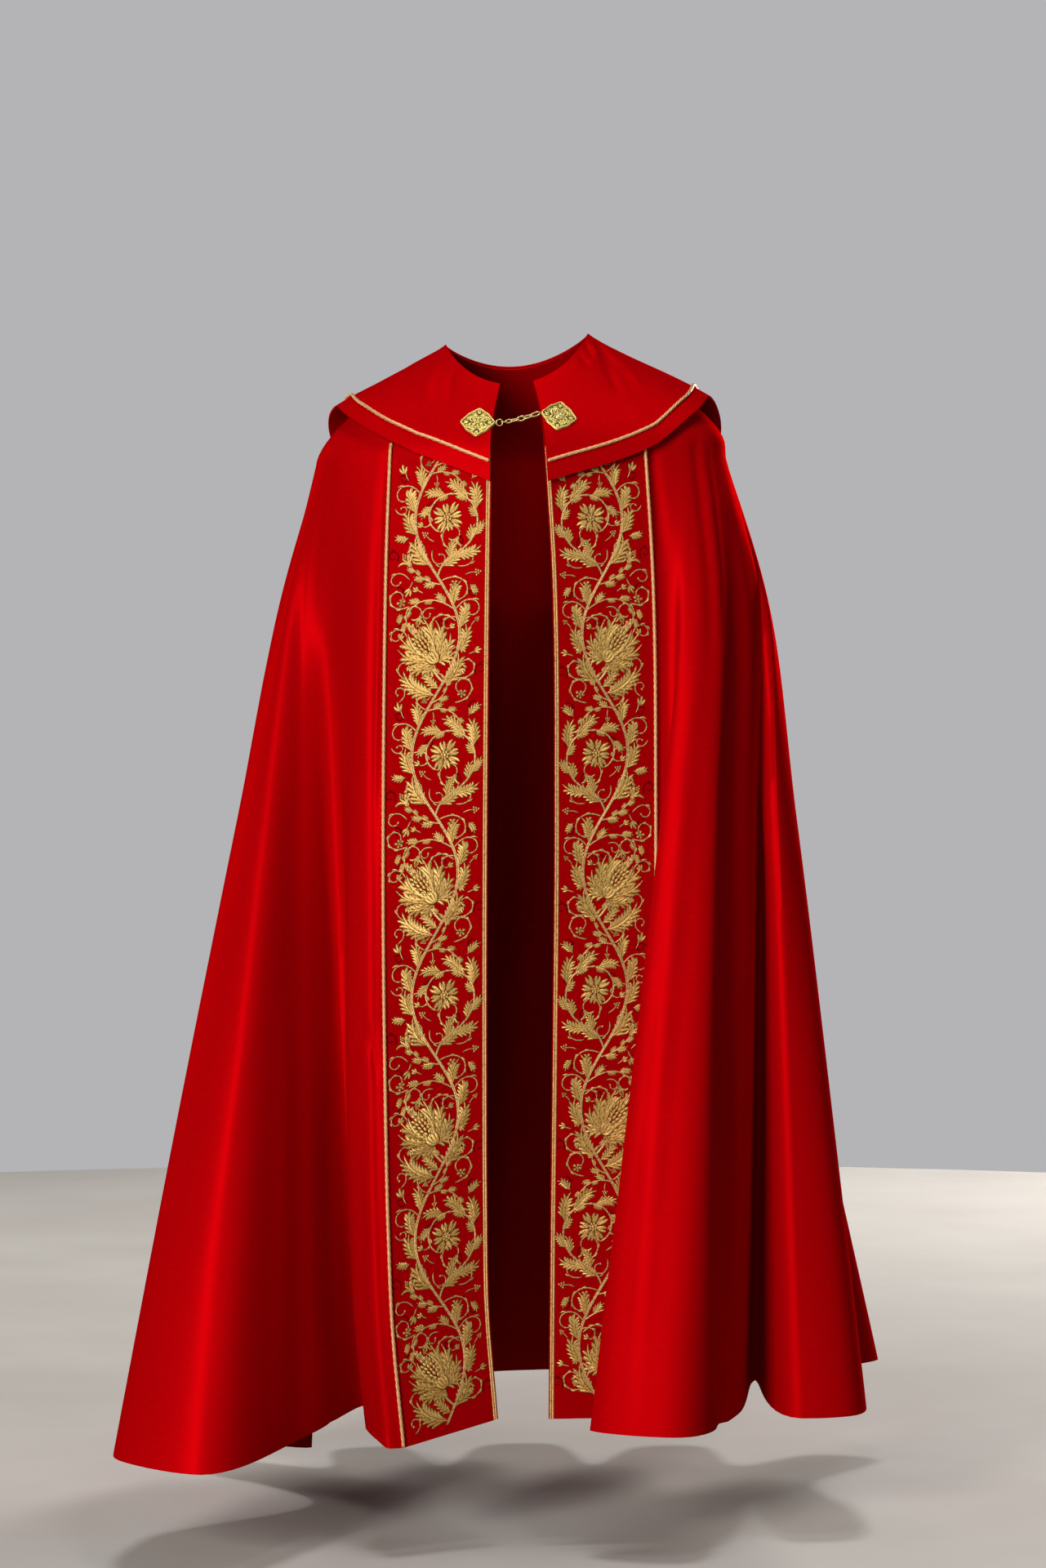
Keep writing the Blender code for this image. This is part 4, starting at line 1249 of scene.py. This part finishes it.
def curls():
    """Fine curls of dark thread in the bare places of the scroll."""
    work = []
    for k in range(TURNS):
        hand = 1 if k % 2 == 0 else -1
        for x, y, heading, length, bend in (
            (-50, -52, 70, 34, 330), (52, 8, 100, 26, 320), (-52, 52, 40, 26, -320), (30, -36, 60, 24, 330),
            (-14, 12, 80, 26, -330), (50, 62, 170, 22, 300),
        ):
            spots = []
            tendril(spots, np.array([float(x), float(y)]), heading, length, bend, 0.8, 1.5, tip="bead")
            work += [(line * [hand, 1] + [0, (k + 0.5) * TURN], *rest) for line, *rest in spots]
    return work


def fillers(strokes):
    """Curls, sprigs, berries and small leaves in the bare places between strokes, the largest first."""
    work = []
    x, y = np.meshgrid(np.arange(-54.0, 54.1, FILLER_GRID), np.arange(0, 2 * TURN, FILLER_GRID))
    spots = np.stack([x.ravel(), y.ravel()], axis=1)
    bare = FIELD_HALF - np.abs(spots[:, 0])
    fresh = [line for line, *_ in strokes]
    for number in range(FILLERS_MOST):
        for line in fresh:
            for turn in (-2 * TURN, 0, 2 * TURN):
                apart = spots[:, None] - line[None, ::2] - [0, turn]
                bare = np.minimum(bare, np.hypot(apart[..., 0], apart[..., 1]).min(axis=1))
        size = bare.max()
        if size < FILLER_ROOM:
            break
        middle = spots[bare.argmax()]
        heading = 57 * number % 360
        start = middle - ray_to(heading) * size * 0.8
        count = len(work)
        if number % 4 == 0:
            tendril(work, start, heading + 50, size * 3.6, -300, 1.3, tip="bead")
        elif number % 4 == 1:
            stalk(work, arc(start, heading, size * 1.0, 30, points=6), 1.3)
            bud(work, middle, heading + 20, size * 0.9)
        elif number % 4 == 2:
            leaf(work, start, heading, size * 1.7, size * 0.8, 60, 4)
        else:
            stalk(work, arc(start, heading - 20, size * 1.1, 40, points=6), 1.2)
            berries(work, middle + ray_to(heading) * size * 0.2, heading, size * 0.26, 3)
        fresh = [line for line, *_ in work[count:]]
    return work


def vine():
    """The whole scroll up one band, blooms and round flowers by turns."""
    pair = []
    for hand, kind, middle in ((1, "bloom", 0.5), (-1, "flower", 1.5)):
        pair += [(line + [0, middle * TURN], *rest) for line, *rest in half_turn(hand, kind)]
    pair += fillers(pair)
    return [(line + [0, 2 * k * TURN], *rest) for k in range(TURNS // 2) for line, *rest in pair]


def on_band(side):
    """A function that puts millimetres from the free edge and up from the foot onto a band."""
    line = band_at(side, np.full(201, 0.5), np.linspace(1, 2, 201))
    drop = distances(line)
    top = np.interp(-FIELD_TOP_Z, -line[:, 2], drop)
    foot = drop[-1] - FIELD_FOOT / 1000
    stretch = (foot - top) / (TURNS * TURN / 1000)

    def place(points, heights):
        across = (FIELD_MIDDLE + points[:, 0]) / 1000 / BAND_WIDTH
        reach = foot - points[:, 1] / 1000 * stretch
        down = 1 + np.interp(reach, drop, np.linspace(0, 1, len(drop)))
        face, normal = band_face(side, across, down)
        return face + normal * (heights / 1000 + 0.00012)[:, None]

    return place


def embroidery_pieces():
    rise = settings().stitch_rise * 1000
    scroll_work = vine()
    stems, leaves = ([s for s in scroll_work if s[-1] == kind] for kind in ("stem", "leaf"))
    layers = (
        ("couched_stems_", stems, rise, "copper_gold_thread", "gold_braid"),
        ("satin_stitch_", leaves, rise, "gold_embroidery_thread", "gold_braid"),
        ("tonal_curls_", curls(), 0.25, "dark_red_rayon_thread", "band_cloth"),
    )
    for name, side in SIDES:
        place = on_band(side)
        for kind, strokes, height, finish, slot in layers:
            mesh = stroke_mesh(kind, strokes, place, height)
            if side > 0:
                mesh.flip_normals()
            place_piece(kind + "orphrey_" + name, mesh, finish)


def even_line(points, step):
    """Points along a line, spaced evenly, on a smooth curve through the given ones."""
    run = distances(points)
    return smooth(run, points, np.linspace(0, run[-1], max(4, int(run[-1] / step))))


def tube_mesh(name, line, up, radius_at, sides, closed=False):
    """A tube round a line. Radius_at gives its radius and shade by distance along and angle round."""
    steps = np.roll(line, -1, axis=0) - np.roll(line, 1, axis=0) if closed else np.gradient(line, axis=0)
    along = unit(steps)
    beside = unit(np.cross(along, up))
    over = np.cross(beside, along)
    run = distances(line)[:, None]
    angle = around_once(sides)[None, :]
    radius, shade = radius_at(run, angle)
    ring = line[:, None] + radius[..., None] * (np.cos(angle)[..., None] * beside[:, None]
                                                + np.sin(angle)[..., None] * over[:, None])
    cut = np.stack(np.broadcast_arrays(angle * radius.mean(), run), axis=-1).reshape(-1, 2)
    faces = grid_faces(len(line), sides, around=True)[:, ::-1]
    if closed:
        first = np.arange(sides)
        last = first + (len(line) - 1) * sides
        joint = np.stack([last, first, np.roll(first, -1), np.roll(last, -1)], axis=1)
        faces = np.concatenate([faces, joint])
    return mesh_from(name, ring.reshape(-1, 3), faces, cut, np.broadcast_to(shade, radius.shape).ravel())


def twist(length):
    """Radius and shade of a cord of strands laid round each other, closed at both ends. The shade is painted:
    dark in the grooves between strands, bright on their crowns.
    """
    def at(run, angle):
        lobe = np.abs(np.cos(CORD_STRANDS / 2 * (angle - 2 * math.pi * run / CORD_PITCH / CORD_STRANDS)))
        ends = np.sqrt(np.clip(np.minimum(run, length - run) / CORD_RADIUS, 0.0, 1))
        radius = CORD_RADIUS * (1 - CORD_GROOVE * (1 - lobe)) * np.maximum(ends, 0.02)
        return radius, 0.22 + 0.78 * lobe**0.7
    return at


def cord_piece(name, node, points, normals):
    line = even_line(points, CORD_STEP)
    up = smooth(np.linspace(0, 1, len(normals)), normals, np.linspace(0, 1, len(line)))
    mesh = tube_mesh(name, line, up, twist(distances(line)[-1]), CORD_SIDES)
    place_piece(name, mesh, "pale_gold_twist", node)


def braid_piece(name, node, side):
    """Flat braid of two plaited ridges, with painted shade in the groove between them and where the plait
    dips.
    """
    rows = np.linspace(BRAID_TOP, 2, TRIM_ROWS)
    middle = np.full(len(rows), (BRAID_INSET + BRAID_WIDTH / 2) / BAND_WIDTH)
    drop = distances(band_at(side, middle, rows))
    run = np.arange(0, drop[-1], BRAID_STEP)[:, None]
    down = np.interp(run, drop, rows)
    t = np.linspace(0, 1, BRAID_COLUMNS)[None, :]
    across = (BRAID_INSET + BRAID_WIDTH * t) / BAND_WIDTH
    ridge = np.abs(np.sin(2 * math.pi * t)) ** 0.6
    lean = np.where(t < 0.5, 1, -1) * t * 2
    plait = 0.80 + 0.20 * np.cos(2 * math.pi * (run / BRAID_PLAIT + lean))
    rise = BRAID_THICK * ridge * plait
    across, down = np.broadcast_arrays(across, down)
    face, normal = band_face(side, across, down)
    grid = face + normal * (BRAID_LIFT * 0.4 + rise)[..., None]
    faces = grid_faces(*grid.shape[:2])[:, ::-side]
    cut = np.stack(np.broadcast_arrays(across * BAND_WIDTH, run), axis=-1)
    mesh = mesh_from(name, grid.reshape(-1, 3), faces, cut.reshape(-1, 2), (ridge * plait).ravel())
    place_piece(name, mesh, "gold_braid_foil", node)


def trim_pieces():
    rows = np.concatenate([[CORD_TOP, 0.93], np.linspace(1, 2, TRIM_ROWS)])
    for name, side in SIDES:
        seam, _ = band_face(side, np.full(len(rows), 1.0), rows)
        _, normals = band_face(side, np.full(len(rows), 0.97), rows)
        line = seam + normals * (CORD_RADIUS + LAID_ON)
        cord_piece("twist_cord_" + name, "outer_cord_" + name, line, normals)
        braid_piece("plaited_braid_" + name, "inner_braid_" + name, side)


def collar_grid(shares, steps):
    """The collar's inner face: the body's own points, moved out further towards the collar's edge.

    Steps run from 0 at the neck to 1 at the collar's edge, a row for each and a column for each share.
    """
    edge_z, edge_lift = columns_of(COLLAR, shares)
    deep = np.linspace(0, 1.3, 131)
    full = around_at(shares[None, :], deep[:, None])
    edge = np.array([np.interp(-z, -full[:, k, 2], deep) for k, z in enumerate(edge_z)])
    base = around_at(shares[None, :], edge[None, :] * steps)
    lift = COLLAR_NECK_LIFT + (edge_lift[None, :] - COLLAR_NECK_LIFT) * steps**1.4
    return base + outward(base) * lift[..., None]


def collar_face(shares, steps):
    """The collar's outer face as worn, with its creases, and the normals of its plain form."""
    plain = collar_grid(shares, steps)
    normals = outward(plain)

    def line_at(share, step):
        column = np.interp(share, shares, np.arange(len(shares)))
        row = np.interp(step, steps[:, 0], np.arange(len(steps)))
        return plain[np.rint(row).astype(int), np.rint(column).astype(int)]

    relief = crease_heights(plain, shares, COLLAR_CREASES, line_at, 0.02)
    wave = COLLAR_SWELL * np.sin(60 * shares[None, :] + 3 * steps) * np.sin(5 * steps + 8 * shares[None, :])
    calm = np.clip(np.minimum(shares, 1 - shares) / 0.02, 0, 1)[None, :]
    lift = np.maximum(relief + wave * np.clip(steps / 0.3, 0, 1), -COLLAR_NECK_LIFT * 0.8) * calm
    return plain + normals * (COLLAR_CLOTH + lift)[..., None], normals


def collar_pieces():
    shares = np.linspace(0, 1, COLLAR_FINE + 1)
    steps = np.repeat(np.linspace(0, 1, COLLAR_FINE_ROWS + 1)[:, None], len(shares), axis=1)
    face, normals = collar_face(shares, steps)
    cut = np.stack([runs(face, 1)[-1][None, :].repeat(len(steps), axis=0), runs(face, 0)], axis=-1)
    piece = cloth_piece("collar", face, cut, "red_wool_satin", COLLAR_CLOTH)
    from_edge = runs(face[::-1], 0)[::-1]
    column = np.arange(len(shares))
    row = np.array([np.interp(-COLLAR_CORD_INSET, -from_edge[:, k], np.arange(len(face))) for k in column])
    low = np.floor(row).astype(int)
    mix = (row - low)[:, None]
    line = face[low, column] * (1 - mix) + face[low + 1, column] * mix
    up = normals[low, column]
    cord_piece("twist_cord_collar", "collar_cord", line + up * (CORD_RADIUS * 0.9), up)


def on_collar(x, z):
    """The collar's outer face and normal in front, at a given x and z."""
    shares = np.linspace(0, PLATE_SEARCH, PLATE_TRIES) + (0 if x < 0 else 1 - PLATE_SEARCH)
    steps = np.repeat(np.linspace(0, 1, PLATE_TRIES)[:, None], PLATE_TRIES, axis=1)
    grid = collar_grid(shares, steps)
    normals = outward(grid)
    face = grid + normals * COLLAR_CLOTH
    miss = (face[..., 0] - x) ** 2 + (face[..., 2] - z) ** 2
    place = np.unravel_index(np.argmin(miss), miss.shape)
    return Vector(face[place]), Vector(normals[place])


def plate_reach(angle):
    """Share of the plate's half size that its lobed rhombus reaches at an angle."""
    c, s = np.abs(np.cos(angle)), np.abs(np.sin(angle))
    rhombus = (c**PLATE_POWER + s**PLATE_POWER) ** (1 / PLATE_POWER)
    return (1 - PLATE_LOBES * (1 - np.cos(8 * angle))) / rhombus


def plate_frame(spec):
    x, z, _, _, turn = spec
    point, normal = on_collar(x, z)
    upright = Vector((0, 0, 1))
    sideways = upright.cross(normal).normalized()
    axes = Matrix((sideways, normal.cross(sideways), normal)).transposed().to_4x4()
    at = Matrix.Translation(point + normal * PLATE_STANDOFF) @ axes
    return at @ Matrix.Rotation(math.radians(turn), 4, "Z")


def put(matrix, points):
    """Local points in the garment's frame."""
    turn = np.array(matrix.to_3x3())
    return points @ turn.T + np.array(matrix.translation)


def filigree(half_wide, half_high, flower):
    """Scrolls, leaves and grains that fill a plate round its middle, four times over by reflection."""
    w, h = half_wide * 1000, half_high * 1000
    quarter = []
    for x, y, heading, length, bend, width, curl in (
        (w * 0.30, 0.6, 8, w * 0.62, 300, 1.0, 1.3),
        (0.6, h * 0.36, 82, h * 0.60, -300, 1.0, 1.3),
        (w * 0.22, h * 0.22, 30, w * 0.40, 260, 0.9, 1.3),
        (w * 0.40, h * 0.34, 60, w * 0.34, -320, 0.9, 1.2),
        (w * 0.62, h * 0.16, 40, w * 0.26, 300, 0.8, 1.2),
        (w * 0.16, h * 0.62, 50, w * 0.26, -300, 0.8, 1.2),
    ):
        tendril(quarter, np.array([x, y]), heading, length, bend, width, curl, tip="bead")
    for x, y, heading, length, width, bend in (
        (w * 0.34, h * 0.10, 20, w * 0.24, 0.12, 14), (w * 0.12, h * 0.38, 66, w * 0.22, 0.12, -14),
        (w * 0.22, h * 0.20, 48, w * 0.34, 0.20, 20), (w * 0.52, 0.4, 2, w * 0.30, 0.14, 14),
        (0.4, h * 0.56, 88, h * 0.28, 0.14, -14),
    ):
        leaf(quarter, np.array([x, y]), heading, length, w * width, bend, 3)
    for share in (0.08, 0.19, 0.30, 0.41, 0.52, 0.63, 0.74, 0.85, 0.94):
        angle = share * math.pi / 2
        reach = float(plate_reach(np.array(angle))) * 0.82
        bead(quarter, np.array([w * reach * math.cos(angle), h * reach * math.sin(angle)]), 1.1, 0.8)
    flips = ((1, 1), (-1, 1), (-1, -1), (1, -1))
    work = [(line * flip, *rest) for flip in flips for line, *rest in quarter]
    if flower:
        rosette(work, np.array([0.0, 0.0]), 17.0, 6, 90)
    return work


def plate_pieces():
    """The two clasp plates: a lobed sheet, a beaded rim, filigree relief, and a flower or a ringed boss."""
    for side, spec, flower in (("right", RIGHT_PLATE, True), ("left", LEFT_PLATE, False)):
        name = "clasp_plate_" + side
        matrix = plate_frame(spec)
        half = np.array(spec[2:4])
        angle = around_once(PLATE_COLUMNS)
        edge = half * plate_reach(angle)[:, None] * np.stack([np.cos(angle), np.sin(angle)], axis=1)
        turned(name, "stamped_" + name, matrix, edge, PLATE_PROFILE, "gilt_brass", name)

        line = np.column_stack([edge * RIM_INSET, np.full(len(edge), PLATE_THICK + PLATE_RIM * 0.8)])
        loop = np.concatenate([line, line[:1]])
        run = distances(loop)
        line = on_line(loop, run, np.linspace(0, run[-1], int(run[-1] / RIM_STEP), endpoint=False))
        rim = tube_mesh(name + "_rim", put(matrix, line), np.array(matrix.to_3x3().col[2])[None, :],
                        beaded, 10, closed=True)
        place_piece("beaded_" + name + "_rim", rim, "gilt_brass", name + "_rim")

        def on_plate(flat, heights):
            out = flat / 1000
            reach = np.hypot(*(out / half).T)
            floor = PLATE_THICK * np.interp(reach, [0, 0.3, 0.6, 0.86, 0.9], [1, 1, 0.80, 0.72, 1.0])
            return put(matrix, np.column_stack([out, floor + heights / 1000]))

        relief = stroke_mesh(name + "_relief", filigree(*half, flower), on_plate, 0.85, 0.08, 1.35)
        place_piece("filigree_" + name, relief, "gilt_brass", name + "_boss")
        if not flower:
            angle = around_once(BOSS_COLUMNS)
            edge = np.stack([np.cos(angle), np.sin(angle)], axis=1) / 1000
            turned(name + "_boss", "ringed_boss_" + name, matrix, edge, BOSS_PROFILE, "gilt_brass_wire")


def beaded(run, angle):
    """Radius and shade of a rim of small beads, with painted shade between the beads."""
    grain = np.abs(np.cos(math.pi * run / RIM_BEAD + 0 * angle))
    return PLATE_RIM * (0.72 + 0.28 * grain), 0.35 + 0.65 * grain


def turned(name, piece_name, matrix, edge, profile, finish, node=None):
    """A round or lobed relief from one profile: share of its edge, height and shade for each ring."""
    rings = [np.column_stack([edge * share, np.full(len(edge), up)]) for share, up, _ in profile]
    points = np.concatenate(rings)
    shade = np.repeat([tone for *_, tone in profile], len(edge))
    faces = grid_faces(len(profile), len(edge), around=True)
    mesh = mesh_from(name, put(matrix, points), faces, points[:, :2], shade)
    place_piece(piece_name, mesh, finish, node)


def link_places(links):
    """Each link's middle and the whole length, with each link hooked through the one before."""
    places = [links[0][1]]
    for before, after in zip(links, links[1:]):
        straight = before[1] - before[3] + after[1] - after[3]
        places.append(places[-1] + straight - before[3] - after[3] - LINK_SLACK)
    return places, places[-1] + links[-1][1]


def chain_pieces():
    """Links of drawn wire that hang through each other between the plates' tips."""
    right, left = plate_frame(RIGHT_PLATE), plate_frame(LEFT_PLATE)
    start = right @ Vector((RIGHT_PLATE[2], 0, PLATE_THICK / 2))
    span = left @ Vector((-LEFT_PLATE[2], 0, PLATE_THICK / 2)) - start
    _, total = link_places(CHAIN)
    spare = span.length - total - 2 * LAID_ON
    last, half_long, *rest = CHAIN[-1]
    links = CHAIN[:-1] + [(last, half_long + spare / 2, *rest)]
    places, _ = link_places(links)
    for (name, half_long, half_wide, wire, turn), place in zip(links, places):
        share = (place + LAID_ON) / span.length
        drop = Vector((0, 0, -CHAIN_SAG * 4 * share * (1 - share)))
        along = (span - Vector((0, 0, CHAIN_SAG * 4 * (1 - 2 * share)))).normalized()
        side = Vector((0, 0, 1)).cross(along).normalized()
        flat = Matrix.Rotation(math.radians(turn), 3, along) @ along.cross(side)
        angle = around_once(LINK_COLUMNS)
        c, s = np.cos(angle), np.sin(angle)
        long = (half_long - wire) * np.sign(c) * np.abs(c) ** LINK_SQUARENESS
        wide = (half_wide - wire) * np.sign(s) * np.abs(s) ** LINK_SQUARENESS
        line = np.array(start + span * share + drop) + long[:, None] * np.array(along)
        line = line + wide[:, None] * np.array(flat)
        axis = np.array(along.cross(flat))[None, :]

        def even_wire(run, at):
            return wire * WIRE_FULLNESS + 0 * run * at, 0.95

        mesh = tube_mesh(name, line, axis, even_wire, 12, closed=True)
        place_piece("drawn_" + name, mesh, "gilt_brass_wire", name)


def soft_light(name, place, target, size, power, colour):
    """A large softbox that faces a point."""
    lamp = bpy.data.lights.new(name, "AREA")
    lamp.shape = "RECTANGLE"
    lamp.size, lamp.size_y = size
    lamp.energy = power * settings().light_share
    lamp.color = linear(colour)
    holder = bpy.data.objects.new(name, lamp)
    bpy.context.scene.collection.objects.link(holder)
    holder.location = place
    holder.rotation_euler = (Vector(target) - Vector(place)).to_track_quat("-Z", "Y").to_euler()


def studio():
    """A pale floor, softboxes at both sides and in front, an even sky, and the camera."""
    scene = bpy.context.scene
    angle = around_once(FLOOR_POINTS)
    edge = FLOOR_RADIUS * np.stack([np.cos(angle), np.sin(angle)], axis=1)
    points = np.column_stack([edge, np.full(FLOOR_POINTS, FLOOR_Z)])
    disc = mesh_from("studio_floor", points, [range(FLOOR_POINTS)], edge)
    floor = bpy.data.objects.new("studio_floor", disc)
    scene.collection.objects.link(floor)
    floor.data.materials.append(finish_for("painted_floor"))
    for box in SOFTBOXES:
        soft_light(*box)
    overhead = bpy.data.lights.new("overhead", "SUN")
    overhead.energy = SUN_STRENGTH
    overhead.angle = math.radians(SUN_SPREAD)
    scene.collection.objects.link(bpy.data.objects.new("overhead", overhead))
    world = bpy.data.worlds.new("even_sky")
    world.use_nodes = True
    tree = world.node_tree
    light = tree.nodes["Background"]
    light.inputs["Color"].default_value = rgba("#E6E6E8")
    light.inputs["Strength"].default_value = SKY_STRENGTH
    wall = add_node(tree, "Background", {"Color": rgba("#B4B4B6")})
    seen = add_node(tree, "LightPath").outputs["Is Camera Ray"]
    both = add_node(tree, "MixShader", {0: seen, 1: light.outputs[0], 2: wall.outputs[0]})
    tree.links.new(both.outputs[0], tree.nodes["World Output"].inputs["Surface"])
    scene.world = world
    camera = bpy.data.objects.new("camera", bpy.data.cameras.new("camera"))
    camera.data.lens = CAMERA_LENS
    camera.data.sensor_width = SENSOR
    camera.location = CAMERA_PLACE
    camera.rotation_euler = (math.pi / 2, 0, 0)
    scene.collection.objects.link(camera)
    scene.camera = camera
    scene.view_settings.view_transform = "Standard"


class COPE_OT_body(bpy.types.Operator):
    """Make the four panels of the red semicircle"""

    bl_idname = "cope.body"
    bl_label = "Body"

    def execute(self, context):
        body_pieces()
        return {"FINISHED"}


class COPE_OT_bands(bpy.types.Operator):
    """Make the two front bands"""

    bl_idname = "cope.bands"
    bl_label = "Front bands"

    def execute(self, context):
        band_pieces()
        return {"FINISHED"}


class COPE_OT_embroidery(bpy.types.Operator):
    """Work the scrolling flowers on both bands"""

    bl_idname = "cope.embroidery"
    bl_label = "Embroidery"

    def execute(self, context):
        embroidery_pieces()
        return {"FINISHED"}


class COPE_OT_trims(bpy.types.Operator):
    """Lay the cords on the seams and the braids on the free edges"""

    bl_idname = "cope.trims"
    bl_label = "Cords and braids"

    def execute(self, context):
        trim_pieces()
        return {"FINISHED"}


class COPE_OT_collar(bpy.types.Operator):
    """Make the shoulder collar and its cord"""

    bl_idname = "cope.collar"
    bl_label = "Collar"

    def execute(self, context):
        collar_pieces()
        return {"FINISHED"}


class COPE_OT_clasp(bpy.types.Operator):
    """Make the gilt plates and the chain between them"""

    bl_idname = "cope.clasp"
    bl_label = "Clasp"

    def execute(self, context):
        plate_pieces()
        chain_pieces()
        return {"FINISHED"}


class COPE_OT_stage(bpy.types.Operator):
    """Set the floor, the lights and the camera"""

    bl_idname = "cope.stage"
    bl_label = "Stage"

    def execute(self, context):
        studio()
        return {"FINISHED"}


STEPS = (COPE_OT_body, COPE_OT_bands, COPE_OT_embroidery, COPE_OT_trims, COPE_OT_collar, COPE_OT_clasp,
         COPE_OT_stage)


class COPE_PT_panel(bpy.types.Panel):
    """Sizes, colours and steps of the cope"""

    bl_idname = "COPE_PT_panel"
    bl_label = "Worn cope"
    bl_space_type = "VIEW_3D"
    bl_region_type = "UI"
    bl_category = "Cope"

    def draw(self, context):
        chosen = context.scene.cope
        for name in chosen.bl_rna.properties.keys():
            if name not in ("rna_type", "name"):
                self.layout.prop(chosen, name)
        for step in STEPS:
            self.layout.operator(step.bl_idname)


CLASSES = (CopeSettings, *STEPS, COPE_PT_panel)


def register():
    for made in CLASSES:
        bpy.utils.register_class(made)
    bpy.types.Scene.cope = PointerProperty(type=CopeSettings)


def unregister():
    del bpy.types.Scene.cope
    for made in reversed(CLASSES):
        bpy.utils.unregister_class(made)


def main():
    register()
    for step in STEPS:
        group, name = step.bl_idname.split(".")
        getattr(getattr(bpy.ops, group), name)()


if __name__ == "__main__":
    main()
